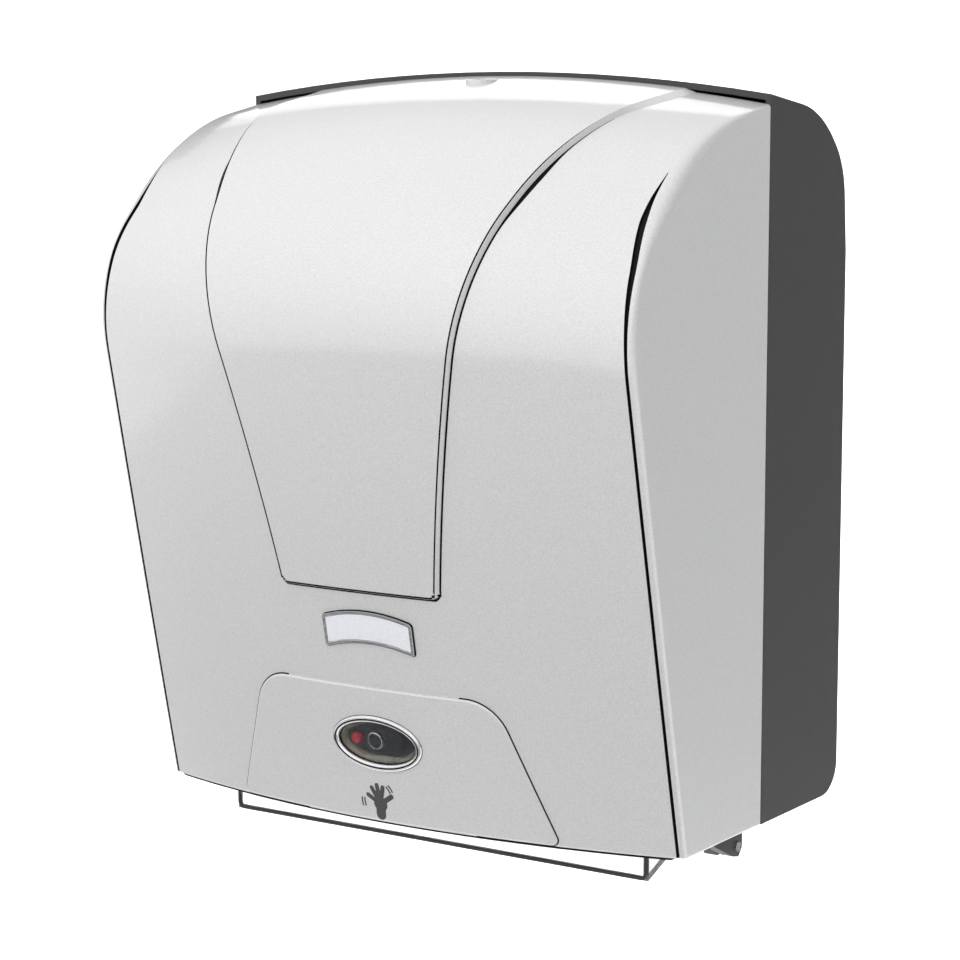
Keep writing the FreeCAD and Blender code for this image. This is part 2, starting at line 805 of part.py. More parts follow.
def build_bushes():
    """Plain bushes that carry the drive shaft in the two cheeks."""
    return both_sides(tube_x(bush_radius - bush_fit, shaft_radius + running_gap, frame_inner - 1.0,
                             frame_outer + 1.0, -drive_depth, drive_height))


def build_feed_wheel():
    """The fluted hand wheel on the shaft's left end."""
    points = []
    for i in range(25):
        angle = i * math.pi / 12
        radius = feed_wheel_radius - (1.6 if i % 2 else 0)
        points.append(Vector(wheel_outer, -drive_depth + radius * math.cos(angle), drive_height + radius * math.sin(angle)))
    wheel = Part.Face(Part.makePolygon(points)).extrude(Vector(feed_wheel_width, 0, 0))
    return wheel.cut(rod_x(shaft_radius, wheel_outer - 1, wheel_outer + feed_wheel_width + 1, -drive_depth, drive_height))


pinch_arm_x1 = frame_inner - 1.0
pinch_arm_x0 = pinch_arm_x1 - 3.0


def build_pinch_frame():
    """The sprung flap that carries the pinch roller: two arms with pivot pins, and a bar."""
    arm = plate_x([
        (pinch_pivot_y - 7.0, pinch_pivot_z + 5.0),
        (pinch_pivot_y + 5.0, pinch_pivot_z + 5.0),
        (pinch_pivot_y + 5.0, drive_height - 5.5),
        (pinch_pivot_y - 7.0, drive_height - 5.5),
    ], pinch_arm_x0, pinch_arm_x1)
    arm = arm.cut(rod_x(pinch_shaft_radius + running_gap, pinch_arm_x0 - 1, pinch_arm_x1 + 1, pinch_y, drive_height))
    arm = arm.fuse(rod_x(pinch_pivot_radius, pinch_arm_x1 - 1, frame_outer + 1.0, pinch_pivot_y, pinch_pivot_z))
    bar = box(-pinch_arm_x1, pinch_arm_x1, pinch_pivot_y - 10.0, pinch_pivot_y - 7.0,
              drive_height + 12.0, pinch_pivot_z + 5.0)
    return bar.fuse([arm, mirrored(arm)]).removeSplitter()


def build_pinch_shaft():
    return rod_x(pinch_shaft_radius, -pinch_arm_x1, pinch_arm_x1, pinch_y, drive_height)


# Tear bar, paper guide and chute
holder_y1 = -holder_back
holder_y0 = holder_y1 - holder_depth
holder_top = holder_bottom + holder_height


def build_tear_holder():
    """The moulded bar between the cheeks that carries the blade."""
    outline = [(holder_y1, holder_bottom + 2), (holder_y1, holder_top), (holder_y0 + 3, holder_top),
               (holder_y0, holder_top - 4), (holder_y0, holder_bottom + 4), (holder_y0 + 5, holder_bottom)]
    return plate_x(outline, -frame_inner, frame_inner)


def build_tear_bar():
    """The toothed steel blade on the holder's back, its teeth pointing down past it."""
    top = holder_top - 1.0
    root = holder_bottom - 1.0
    count = int(2 * (frame_inner - blade_end_gap) / tooth_pitch)
    first = -count * tooth_pitch / 2
    points = [Vector(first, holder_y1, top), Vector(first, holder_y1, root)]
    for i in range(count):
        points.append(Vector(first + (i + 0.5) * tooth_pitch, holder_y1, root - tooth_depth))
        points.append(Vector(first + (i + 1) * tooth_pitch, holder_y1, root))
    points.append(Vector(-first, holder_y1, top))
    return Part.Face(Part.makePolygon(points + [points[0]])).extrude(Vector(0, blade_thickness, 0))


guide_thickness = 1.8


def build_paper_guide():
    """The curved guide behind the paper's path, from the roll down to the rollers."""
    front = [(-60.0, -56.0), (-100.0, -62.0), (-110.0, -101.0)]
    bend = 26.0
    back = [(-60.0, front[0][1] - guide_thickness), (-98.5, -64.0), (-108.2, -101.0)]
    edges = rounded_chain(front, [0, bend, 0]) + rounded_chain(back, [0, bend - guide_thickness, 0])
    edges.append(Part.LineSegment(Vector(0, *front[0]), Vector(0, *back[0])).toShape())
    edges.append(Part.LineSegment(Vector(0, *front[-1]), Vector(0, *back[-1])).toShape())
    guide = closed_face(edges).extrude(Vector(2 * frame_inner, 0, 0))
    guide.translate(Vector(-frame_inner, 0, 0))
    return guide


def build_chute():
    """The clear paper tray: a floor that slopes up to the back, a back lip and two side walls."""
    chute_half = frame_outer + chute_overhang
    knee_z = chute_rim_height + (chute_rim_depth - chute_knee_depth) * math.tan(math.radians(chute_slope))
    floor = plate_x([
        (-chute_rim_depth, chute_rim_height),
        (-chute_knee_depth, knee_z),
        (-chute_back_depth, knee_z),
        (-chute_back_depth, knee_z + chute_wall),
        (-chute_knee_depth, knee_z + chute_wall),
        (-chute_rim_depth, chute_rim_height + chute_wall),
    ], -chute_half, chute_half)
    lip_half = frame_inner - side_gap
    lip = box(-lip_half, lip_half, -chute_back_depth - chute_wall, -chute_back_depth, knee_z, knee_z + 16.0)
    wall = plate_x([
        (-chute_rim_depth, chute_rim_height),
        (-chute_rim_depth, chute_rim_height + 14.0),
        (-chute_rim_depth + 12.0, frame_bottom + 2.0),
        (-chute_rim_depth + 12.0, frame_bottom + 16.0),
        (-chute_back_depth, frame_bottom + 16.0),
        (-chute_back_depth, knee_z),
        (-chute_knee_depth, knee_z),
    ], frame_outer, chute_half)
    return floor.fuse([lip, wall, mirrored(wall)]).removeSplitter()


# Battery box with its sliding door
bay_radius = cell_radius + cell_clearance
bay_half = cell_length + cell_clearance + 2.0
cell_y = -housing_wall - battery_wall - bay_radius
row_heights = [battery_floor + battery_wall + bay_radius, battery_floor + 2 * battery_wall + 3 * bay_radius]
battery_top = row_heights[1] + bay_radius + battery_wall
battery_half = bay_half + battery_wall
battery_front = cell_y - 6.0
door_back = battery_front - side_gap
door_front = door_back - door_thickness
rail_front = door_front - side_gap - 1.5


def build_battery_box():
    """Two long bays, each with a half-round back, and rails in front for the door."""
    body = box(-battery_half, battery_half, battery_front, -housing_wall, battery_floor, battery_top)
    for z in row_heights:
        body = body.cut(rod_x(bay_radius, -bay_half, bay_half, cell_y, z))
        body = body.cut(box(-bay_half, bay_half, battery_front - 1, cell_y, z - bay_radius, z + bay_radius))
    rail = box(battery_half - 1.6, battery_half, rail_front, battery_front, battery_floor, battery_top)
    lip = box(battery_half - 4.0, battery_half, rail_front, rail_front + 1.5, battery_floor, battery_top)
    stop = box(-battery_half, battery_half, rail_front, battery_front, battery_floor, battery_floor + 1.5)
    return body.fuse([rail, mirrored(rail), lip, mirrored(lip), stop]).removeSplitter()


def build_battery_contacts():
    """Spring plates at the ends of each bay."""
    plates = [box(bay_half - 0.8, bay_half, cell_y - 5.5, cell_y + 7, z - 9, z + 9) for z in row_heights]
    return both_sides(Part.makeCompound(plates))


def build_battery_door():
    """The sliding door over the bays, with a finger grip near its top."""
    half = battery_half - 1.6 - side_gap
    door = box(-half, half, door_front, door_back, battery_floor + 1.5, battery_top - 0.5)
    grip = box(-18, 18, door_front - 2.5, door_front, battery_top - 12, battery_top - 9)
    return door.fuse(grip).removeSplitter()


# Controls in the left side bay
control_x1 = -frame_outer
control_x0 = control_x1 - control_width
control_x = (control_x0 + control_x1) / 2
panel_front = -control_depth
panel_back = panel_front + panel_thickness
rocker_z = control_high - 9.0
slider_z = rocker_z - 13.0
button_z = slider_z - 13.0
rocker_half_x = 6.0
rocker_half_z = 3.6
slider_half = 2.2
slider_travel = 3.5
board_front = panel_front + 10.0
board_thickness = 1.6


def panel_opening(half_x, half_z, z):
    return box(control_x - half_x - side_gap, control_x + half_x + side_gap, panel_front - 1, panel_back + 1,
               z - half_z - side_gap, z + half_z + side_gap)


def build_control_panel():
    """The bracket on the left cheek, with openings for the three controls."""
    panel = box(control_x0, control_x1, panel_front, panel_back, control_low, control_high)
    back = panel_front + control_reach
    for z in (control_low, control_high - panel_thickness):
        panel = panel.fuse(box(control_x0, control_x1, panel_front, back, z, z + panel_thickness))
    panel = panel.cut(panel_opening(rocker_half_x, rocker_half_z + 0.4, rocker_z))
    panel = panel.cut(panel_opening(slider_half, slider_half + slider_travel, slider_z))
    return panel.cut(panel_opening(button_half, button_half, button_z)).removeSplitter()


def build_control_board():
    """The controller board between the bracket's shelves, with its switch bodies and a relay."""
    board_back = board_front + board_thickness
    switch_front = panel_front + 5.4
    board = box(control_x0 + 1, control_x1 - 1, board_front, board_back,
                control_low + panel_thickness + side_gap, control_high - panel_thickness - side_gap)
    blocks = [
        box(control_x - 6, control_x + 6, switch_front, board_front, rocker_z - 4, rocker_z + 4),
        box(control_x - 4, control_x + 4, switch_front, board_front, slider_z - 6, slider_z + 6),
        box(control_x - 3, control_x + 3, switch_front, board_front, button_z - 3, button_z + 3),
        box(control_x0 + 3, control_x0 + 15, board_back, board_back + 9, control_low + 6, control_low + 20),
        box(control_x0 + 4, control_x0 + 20, board_back, board_back + 6, control_high - 16, control_high - 6),
    ]
    return board.fuse(blocks).removeSplitter()


def build_rocker():
    """The power switch's rocker, bent in its middle."""
    return plate_x([
        (panel_front - 2.2, rocker_z + rocker_half_z),
        (panel_front - 0.9, rocker_z),
        (panel_front - 0.4, rocker_z - rocker_half_z),
        (panel_front + 3.2, rocker_z - 2.6),
        (panel_front + 3.2, rocker_z + 2.6),
    ], control_x - rocker_half_x, control_x + rocker_half_x)


def pushed_key(half_x, half_z, z, front):
    """A key that stands through the panel, with a collar behind it."""
    key = box(control_x - half_x, control_x + half_x, front, panel_back + 1.0, z - half_z, z + half_z)
    collar = box(control_x - half_x - 0.9, control_x + half_x + 0.9, panel_back + 0.1, panel_back + 1.0,
                 z - half_z, z + half_z)
    return key.fuse(collar).removeSplitter()


# Roll carrier
pivot_low = roll_height - arm_height / 2
pivot_high = roll_height + arm_height / 2
barrel_low = pivot_low + 9.0
bracket_thickness = 2.5
ear_thickness = 3.0


def arm_blade():
    """The tapered arm at +X that reaches forward to the roll's centre, with its stub axle."""
    outline = [(pivot_y - 2, pivot_low), (-roll_depth, roll_height - arm_nose_radius),
               (-roll_depth, roll_height + arm_nose_radius), (pivot_y - 2, pivot_high)]
    blade = plate_x(outline, arm_inner, arm_inner + arm_thickness)
    blade = blade.fuse(rod_x(arm_nose_radius, arm_inner, arm_inner + arm_thickness, -roll_depth, roll_height))
    window = [(-30.0, roll_height - 8), (-76.0, roll_height - 8), (-76.0, roll_height + 8), (-30.0, roll_height + 8)]
    blade = blade.cut(plate_x(window, arm_inner - 1, arm_inner + arm_thickness + 1))
    axle = rod_x(axle_radius, hub_inner, arm_inner + 1.0, -roll_depth, roll_height)
    return blade.fuse(axle)


def build_left_arm():
    """The fixed arm, with a flange on the housing's back wall."""
    flange = box(arm_inner, arm_inner + 22.0, -housing_wall - 4.0, -housing_wall, pivot_low - 4, pivot_high + 4)
    root = box(arm_inner, arm_inner + arm_thickness, pivot_y - 4, -housing_wall, pivot_low, pivot_high)
    return mirrored(arm_blade().fuse([root, flange])).removeSplitter()


def build_right_arm():
    """The swinging arm: the same blade on a pivot barrel, cut back to make room for the spring."""
    barrel = Part.makeCylinder(pivot_radius, pivot_high - barrel_low, Vector(pivot_x, pivot_y, barrel_low))
    neck = box(arm_inner, pivot_x, pivot_y - 5.0, pivot_y, barrel_low, pivot_high)
    room = box(arm_inner - 1, pivot_x + 20, pivot_y - 8, 0, pivot_low - 1, barrel_low)
    bore = Part.makeCylinder(pivot_pin_radius + running_gap, 80, Vector(pivot_x, pivot_y, pivot_low - 10))
    return arm_blade().fuse([barrel, neck]).cut(room).cut(bore).removeSplitter()


def build_arm_bracket():
    """The bracket on the back wall, with an ear above and below the pivot barrel."""
    bracket = box(arm_inner - 2.0, arm_inner + 26.0, -housing_wall - bracket_thickness, -housing_wall,
                  pivot_low - 8.0, pivot_high + 8.0)
    for z in (pivot_low - side_gap - ear_thickness, pivot_high + side_gap):
        bracket = bracket.fuse(box(pivot_x - 5.5, pivot_x + 5.5, pivot_y - 5.5, -housing_wall, z, z + ear_thickness))
    bore = Part.makeCylinder(pivot_pin_radius, 90, Vector(pivot_x, pivot_y, pivot_low - 20))
    return bracket.cut(bore).removeSplitter()


def build_arm_pin():
    low = pivot_low - side_gap - ear_thickness
    high = pivot_high + side_gap + ear_thickness
    return Part.makeCylinder(pivot_pin_radius, high - low, Vector(pivot_x, pivot_y, low))


def build_arm_spring():
    """The space of the arm's torsion spring round the pivot pin, below the barrel."""
    height = barrel_low - pivot_low
    base = Vector(pivot_x, pivot_y, pivot_low - side_gap)
    sleeve = Part.makeCylinder(pivot_pin_radius + 1.8, height, base)
    return sleeve.cut(Part.makeCylinder(pivot_pin_radius + side_gap, height, base))


hub_outer = arm_inner - side_gap
hub_inner = hub_outer - hub_stop_width - hub_length


def build_right_hub():
    """A roll hub: a boss with four stepped vanes that enter the paper core."""
    hub = rod_x(hub_boss_radius, hub_inner, hub_outer, 0, 0)
    vane = plate_x([(-vane_thickness / 2, -core_radius), (vane_thickness / 2, -core_radius),
                    (vane_thickness / 2, core_radius), (-vane_thickness / 2, core_radius)], hub_inner, hub_outer)
    stop = plate_x([(-vane_thickness / 2, -hub_stop_radius), (vane_thickness / 2, -hub_stop_radius),
                    (vane_thickness / 2, hub_stop_radius), (-vane_thickness / 2, hub_stop_radius)],
                   hub_outer - hub_stop_width, hub_outer)
    cross = vane.fuse(stop)
    turned = cross.copy()
    turned.rotate(Vector(0, 0, 0), Vector(1, 0, 0), 90)
    hub = hub.fuse([cross, turned]).cut(rod_x(axle_radius + running_gap, hub_inner - 1, hub_outer + 1, 0, 0))
    hub.translate(Vector(0, -roll_depth, roll_height))
    return hub.removeSplitter()


def main():
    save("front_cover", build_cover())
    save("sensor_apron", build_apron())
    save("sensor_bezel", build_bezel())
    save("sensor_window", build_window())
    save("sensor_housing", build_sensor_housing())
    save("sensor_lenses", build_sensor_lenses())
    save("sensor_board", build_sensor_board())
    save("status_led", build_led())
    save("cover_hinge_ears", build_hinge_ears())
    save("lock_barrel", build_lock_barrel())
    save("lock_cam", build_lock_cam())
    save("rear_housing", build_housing())
    save("hinge_pins", build_hinge_pins())
    save("left_side_frame", build_left_frame())
    save("right_side_frame", build_right_frame())
    save("frame_screws", build_frame_screws())
    save("drive_gear", build_drive_gear())
    save("idler_gear", build_idler_gear())
    save("motor_pinion", build_pinion())
    save("gear_plate", build_gear_plate())
    save("idler_axle", rod_x(idler_axle_radius, frame_inner, plate_outer, idler_y, idler_z))
    save("gear_motor", build_motor())
    save("drive_shaft", build_drive_shaft())
    save("drive_sleeves", sleeve_group(drive_radius, shaft_radius, -drive_depth, drive_height, 0))
    save("shaft_bushes", build_bushes())
    save("feed_wheel", build_feed_wheel())
    save("pinch_frame", build_pinch_frame())
    save("pinch_shaft", build_pinch_shaft())
    save("pinch_rollers", sleeve_group(pinch_radius, pinch_shaft_radius, pinch_y, drive_height, 2.0))
    save("tear_bar_holder", build_tear_holder())
    save("tear_bar", build_tear_bar())
    save("paper_guide", build_paper_guide())
    save("paper_chute", build_chute())
    save("battery_box", build_battery_box())
    save("battery_contacts", build_battery_contacts())
    save("battery_door", build_battery_door())
    save("control_panel", build_control_panel())
    save("control_board", build_control_board())
    save("power_rocker", build_rocker())
    save("length_slider", pushed_key(slider_half, slider_half, slider_z, panel_front - 2.0))
    save("feed_button", pushed_key(button_half, button_half, button_z, panel_front - button_travel - 0.9))
    save("left_roll_arm", build_left_arm())
    save("right_roll_arm", build_right_arm())
    save("arm_bracket", build_arm_bracket())
    save("arm_pin", build_arm_pin())
    save("arm_spring", build_arm_spring())
    save("left_roll_hub", mirrored(build_right_hub()))
    save("right_roll_hub", build_right_hub())


main()
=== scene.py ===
import json
import math

import bmesh
import bpy
import numpy as np
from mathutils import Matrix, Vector


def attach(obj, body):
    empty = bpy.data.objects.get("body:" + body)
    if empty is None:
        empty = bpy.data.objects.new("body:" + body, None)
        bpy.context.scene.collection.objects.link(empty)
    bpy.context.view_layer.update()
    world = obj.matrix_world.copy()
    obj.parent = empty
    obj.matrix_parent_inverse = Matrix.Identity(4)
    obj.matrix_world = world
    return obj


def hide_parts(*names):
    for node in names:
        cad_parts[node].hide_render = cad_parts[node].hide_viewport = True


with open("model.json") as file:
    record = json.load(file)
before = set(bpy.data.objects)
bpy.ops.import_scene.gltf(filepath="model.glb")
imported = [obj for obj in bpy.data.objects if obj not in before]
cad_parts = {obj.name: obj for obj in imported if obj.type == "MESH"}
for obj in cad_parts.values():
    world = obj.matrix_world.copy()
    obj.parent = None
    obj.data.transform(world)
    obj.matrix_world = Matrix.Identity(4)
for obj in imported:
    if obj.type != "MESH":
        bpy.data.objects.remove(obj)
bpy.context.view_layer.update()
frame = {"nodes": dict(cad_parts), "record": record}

nodes = frame["nodes"]
scene = bpy.context.scene
MM = 0.001

# Sizes of the case in millimetres, as in the solids
half_width = 153.0
case_bottom = -176.0
split_y = -82.0
cover_bow = 19.5
bow_tilt = 21.0
cover_wall = 2.8
front_foot_depth = 156.2
crest_depth = 213.9
crest_height = 87.0
crown_depth = 152.6
crown_height = 156.3
top_slope = 12.0
crest_radius = 78.0
crown_radius = 130.0
opening_half = 141.0
opening_depth = 150.2
lock_y = -96.0
lock_hole_radius = 8.06

# The raised middle field. It fades over y, and the sunk seam outside its flank, painted dark as shade,
# widens by the wedge over z
field_proud = 2.5
field_proud_at_split = 1.5
field_foot = -58.0
field_corner = 4.0
field_foot_half = 45.5
field_waist = (58.2, 20.0)
field_shoulder = np.array((82.5, 118.0))
field_top = np.array((114.0, 181.0))
field_fade = (-150.0, -88.0)
seam_fade = (-188.0, -136.0)
wedge_width = 1.5
wedge_rise = (112.0, 134.0)
wedge_fall = (136.0, 152.0)
top_softening = 5.0

# The sensor apron, its oval ring and what lies behind the window
apron_proud = 1.2
apron_top = -106.5
apron_foot = -175.3
apron_top_half = 68.0
apron_slope = 24.0 / 63.5
apron_corner = 22.0
oval_height = -134.7
oval_half_width = 26.2
oval_half_height = 14.0
bezel_width = 3.6
plate_seat = 0.02

# Details of the moulding that the solids leave to this script. The shoulder's range is in z, and
# the split corner's in y
edge_radius = 3.2
shoulder_radius = 8.0
shoulder_range = (95.0, 130.0)
split_corner_radius = 1.6
split_corner_range = (-150.0, -92.0)
inner_least_radius = 0.3
inner_clearance = 0.4
rim_round = 0.9
seam_depth = 0.8
groove_depth = 1.8
groove_flank = 3.0
groove_lip = 0.15
groove_least_width = 0.2
groove_inset = 0.35
groove_top = 140.0
groove_wide_at = 118.0
groove_narrowing = 60.0
groove_widest = 3.2
groove_width = 1.5


def smooth_step(value, start, end):
    """0 before start, 1 after end, and a smooth rise between."""
    t = np.clip((value - start) / (end - start), 0, 1)
    return t * t * (3 - 2 * t)


# The cover's form: an outline in the middle plane, revolved about an axis that leans back
tilt_cos = math.cos(math.radians(bow_tilt))
tilt_sin = math.sin(math.radians(bow_tilt))
top_rise = math.tan(math.radians(top_slope))


def bow_travel(y, z):
    """How far back and down a point of a side view lies along the bow's radius."""
    return y * tilt_cos - z * tilt_sin


bow_radius = (half_width ** 2 - cover_bow ** 2) / (2 * cover_bow)
bow_reach = bow_radius + bow_travel(-crest_depth, crest_height)


def at_middle(depth, height):
    """Moves a point of the side outline to the middle of the bowed front."""
    radius = bow_reach - bow_travel(-depth, height)
    shift = math.hypot(half_width, radius) - radius
    return np.array([-depth - shift * tilt_cos, height + shift * tilt_sin])


foot = at_middle(front_foot_depth, case_bottom)
crest = at_middle(crest_depth, crest_height)
crown = at_middle(crown_depth, crown_height)
front_lean = math.atan2(foot[0] - crest[0], crest[1] - foot[1])


def rounded_path(points, radii, step=0.25):
    """A path through 2D points with an arc of its radius at each inner one, sampled closely."""
    points = [np.array(p, float) for p in points]
    path = [points[0]]
    for i in range(1, len(points) - 1):
        tip = points[i]
        before = (points[i - 1] - tip) / np.linalg.norm(points[i - 1] - tip)
        after = (points[i + 1] - tip) / np.linalg.norm(points[i + 1] - tip)
        half = math.acos(float(np.clip(before @ after, -1, 1))) / 2
        radius = radii[i - 1]
        middle = (before + after) / np.linalg.norm(before + after)
        centre = tip + middle * radius / math.sin(half)
        start = tip + before * radius / math.tan(half) - centre
        end = tip + after * radius / math.tan(half) - centre
        turn = math.atan2(start[0] * end[1] - start[1] * end[0], start @ end)
        count = max(2, int(abs(turn) * radius / step))
        for a in np.linspace(0, turn, count + 1):
            c, s = math.cos(a), math.sin(a)
            spoke = np.array([start[0] * c - start[1] * s, start[0] * s + start[1] * c])
            path.append(centre + spoke)
    path.append(points[-1])
    dense = [path[0]]
    for p in path[1:]:
        origin = dense[-1]
        count = max(1, int(np.linalg.norm(p - origin) / step))
        dense += [origin + (p - origin) * (k + 1) / count for k in range(count)]
    return np.array(dense)


outline_reach = 30.0
below_foot = foot[1] - case_bottom + outline_reach
behind_split = split_y + outline_reach
side_outline = rounded_path([
    (foot[0] + below_foot * math.tan(front_lean), case_bottom - outline_reach),
    crest,
    crown,
    (behind_split, crown[1] + (behind_split - crown[0]) * top_rise),
], (crest_radius, crown_radius))
outline_step = np.diff(side_outline, axis=0)
outline_travel = np.cumsum(np.hypot(outline_step[:, 0], outline_step[:, 1]))
outline_length = np.concatenate([[0], outline_travel])
outline_tangent = np.gradient(side_outline, outline_length, axis=0)
outline_normal = np.stack([-outline_tangent[:, 1], outline_tangent[:, 0]], 1)


def along_outline(values, s):
    """Values given along the side outline, read at lengths s."""
    return np.interp(s, outline_length, values)


def front(x, s, lift=0.0):
    """Points of the bowed cover at x and length s, raised by lift, and their normals."""
    normal_y = along_outline(outline_normal[:, 0], s)
    normal_z = along_outline(outline_normal[:, 1], s)
    size = np.hypot(normal_y, normal_z)
    normal_y, normal_z = normal_y / size, normal_z / size
    y = along_outline(side_outline[:, 0], s) + normal_y * lift
    z = along_outline(side_outline[:, 1], s) + normal_z * lift
    radius = bow_reach - bow_travel(y, z)
    root = np.sqrt(radius ** 2 - x ** 2)
    shift = radius - root
    inward = bow_travel(normal_y, normal_z)
    along = normal_y * tilt_sin + normal_z * tilt_cos
    turned = inward * root / radius
    normal = np.stack([-inward * x / radius, turned * tilt_cos + along * tilt_sin,
                       along * tilt_cos - turned * tilt_sin], -1)
    return np.stack([x + 0 * y, y + shift * tilt_cos, z - shift * tilt_sin], -1), normal


height_tries = 6


def front_at(x, z, lift=0.0):
    """Points of the front at x and a height, raised by lift."""
    x, z = np.broadcast_arrays(np.asarray(x, float), np.asarray(z, float))
    middle = z.copy()
    for _ in range(height_tries):
        s = np.interp(middle, side_outline[:, 1], outline_length)
        middle = middle + z - front(x, s)[0][..., 2]
    return front(x, s, lift)[0]


# Lengths at which the surface meets the bottom, the field's foot and the split, over the
# distance from the middle
place_count = 70
place_x = np.linspace(0, half_width, place_count)
place_bottom, place_foot, place_split = [], [], []
for place in place_x:
    surface = front(place, outline_length)[0]
    nose = int(np.argmin(surface[:, 1]))
    place_bottom.append(np.interp(case_bottom + rim_round, surface[:, 2], outline_length))
    place_foot.append(np.interp(field_foot, surface[:, 2], outline_length))
    place_split.append(np.interp(split_y - rim_round, surface[nose:, 1], outline_length[nose:]))
place_ends = (place_bottom, place_foot, place_split)


def row_length(rows, x):
    """Lengths of the rows at x. A row is shares of the bottom, foot and split lengths, and an offset."""
    ends = [np.interp(x, place_x, place) for place in place_ends]
    return rows[:, 0:1] * ends[0] + rows[:, 1:2] * ends[1] + rows[:, 2:3] * ends[2] + rows[:, 3:4]


def arc_through(first, middle, last):
    """Centre and radius of the circle through three points in a plane."""
    (ax, ay), (bx, by), (cx, cy) = first, middle, last
    d = 2 * (ax * (by - cy) + bx * (cy - ay) + cx * (ay - by))
    a2, b2, c2 = ax * ax + ay * ay, bx * bx + by * by, cx * cx + cy * cy
    x = (a2 * (by - cy) + b2 * (cy - ay) + c2 * (ay - by)) / d
    y = (a2 * (cx - bx) + b2 * (ax - cx) + c2 * (bx - ax)) / d
    return np.array([x, y]), math.hypot(ax - x, ay - y)


def upper_arc(centre, radius):
    """The field's upper flank: an arc tangent to the lower one that ends at the field's top."""
    spoke = (field_shoulder - centre) / radius
    along = np.array([spoke[1], -spoke[0]]) * (1 if spoke[0] < 0 else -1)
    across = np.array([along[1], -along[0]])
    chord = field_top - field_shoulder
    signed = chord @ chord / (2 * chord @ across)
    return field_shoulder + across * signed, abs(signed)


lower_end = (field_foot_half, field_foot + field_corner)
lower_centre, lower_radius = arc_through(lower_end, field_waist, field_shoulder)
upper_centre, upper_radius = upper_arc(lower_centre, lower_radius)


def on_arc(centre, radius, z, side):
    """The x of a circle at a height, on one side of its centre."""
    return centre[0] + side * np.sqrt(np.maximum(radius ** 2 - (z - centre[1]) ** 2, 0))


def field_half(z):
    """Half the field's width at a height."""
    lower_side = np.sign(field_waist[0] - lower_centre[0])
    upper_side = np.sign(field_shoulder[0] - upper_centre[0])
    lower_z = np.clip(z, lower_end[1], field_shoulder[1])
    upper_z = np.clip(z, field_shoulder[1], field_top[1])
    low = on_arc(lower_centre, lower_radius, lower_z, lower_side)
    high = on_arc(upper_centre, upper_radius, upper_z, upper_side)
    return np.where(z <= field_shoulder[1], low, high)


# Meshes. Points closer than merge_distance, in metres, become one
merge_distance = 2e-6
shortest_edge = 1e-7


def add_mesh(name, surface, materials, body, face_slots=None, sharp=40.0):
    """A closed surface in millimetres becomes a smooth piece in metres that rides on a body."""
    vertices, faces = surface
    mesh = bpy.data.meshes.new(name)
    mesh.from_pydata((np.asarray(vertices) * MM).tolist(), [], faces)
    for material in materials:
        mesh.materials.append(material)
    if face_slots is not None:
        mesh.polygons.foreach_set("material_index", face_slots)
    shape = bmesh.new()
    shape.from_mesh(mesh)
    bmesh.ops.remove_doubles(shape, verts=shape.verts, dist=merge_distance)
    bmesh.ops.dissolve_degenerate(shape, edges=shape.edges, dist=shortest_edge)
    shape.to_mesh(mesh)
    shape.free()
    mesh.polygons.foreach_set("use_smooth", [True] * len(mesh.polygons))
    mesh.set_sharp_from_angle(angle=math.radians(sharp))
    piece = new_object(name, mesh)
    modifier = piece.modifiers.new("flat faces", "WEIGHTED_NORMAL")
    modifier.keep_sharp = True
    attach(piece, body)
    return piece


def shell_from_grids(outer, inner, kept, dark):
    """Vertices, faces and slots of a closed shell between two grids, with holes where kept is false."""
    columns = outer.shape[1]
    total = outer.shape[0] * columns
    vertices = np.concatenate([outer.reshape(-1, 3), inner.reshape(-1, 3)])
    faces, slots, edges = [], [], {}
    for i, j in np.argwhere(kept):
        a = int(i) * columns + int(j)
        quad = (a, a + 1, a + columns + 1, a + columns)
        faces += [quad, tuple(v + total for v in reversed(quad))]
        # Outer quads marked in dark take slot 1, the painted shade
        slots += [int(dark[i, j]), 0]
        for k in range(4):
            edges[quad[k], quad[(k + 1) % 4]] = True
    for a, b in edges:
        if (b, a) not in edges:
            faces.append((b, a, a + total, b + total))
            slots.append(0)
    used = sorted({v for face in faces for v in face})
    number = {v: k for k, v in enumerate(used)}
    return vertices[used], [[number[v] for v in face] for face in faces], slots


def ring_surface(rings, closed=False):
    """Vertices and faces of a surface through rings of points, closed on itself or with capped ends."""
    rings = np.asarray(rings)
    count, size = rings.shape[:2]
    faces = []
    for m in range(count if closed else count - 1):
        a, b = m * size, ((m + 1) % count) * size
        faces += [[a + k, a + (k + 1) % size, b + (k + 1) % size, b + k] for k in range(size)]
    if not closed:
        faces.append(list(range(size))[::-1])
        faces.append([(count - 1) * size + k for k in range(size)])
    return rings.reshape(-1, 3), faces


def join(*parts):
    """One set of vertices and faces from several."""
    vertices, faces = [], []
    for points, more in parts:
        base = sum(len(p) for p in vertices)
        vertices.append(np.asarray(points))
        faces += [[v + base for v in face] for face in more]
    return np.concatenate(vertices), faces


def new_object(name, data):
    """A new object in the scene."""
    thing = bpy.data.objects.new(name, data)
    scene.collection.objects.link(thing)
    return thing


# Materials. Noise scales are per metre, and the grain's height is in metres
noise_middle = (0.3, 0.7)
ramp_places = (0.35, 0.65)
grain_height = 0.0002
clear_index = 1.46
clear_tint_share = 0.97
clear_rough_range = 0.04
lens_glow = 0.12


def shader(name):
    """A new material with its tree and its main shader."""
    material = bpy.data.materials.new(name)
    material.use_nodes = True
    tree = material.node_tree
    principled = next(n for n in tree.nodes if n.type == "BSDF_PRINCIPLED")
    return material, tree, principled


def set_inputs(node, **inputs):
    """Gives a node's inputs, with underscores for spaces, a value or another node's output each."""
    for name, value in inputs.items():
        socket = node.inputs[name.replace("_", " ")]
        if isinstance(value, bpy.types.NodeSocket):
            node.id_data.links.new(value, socket)
        else:
            socket.default_value = value


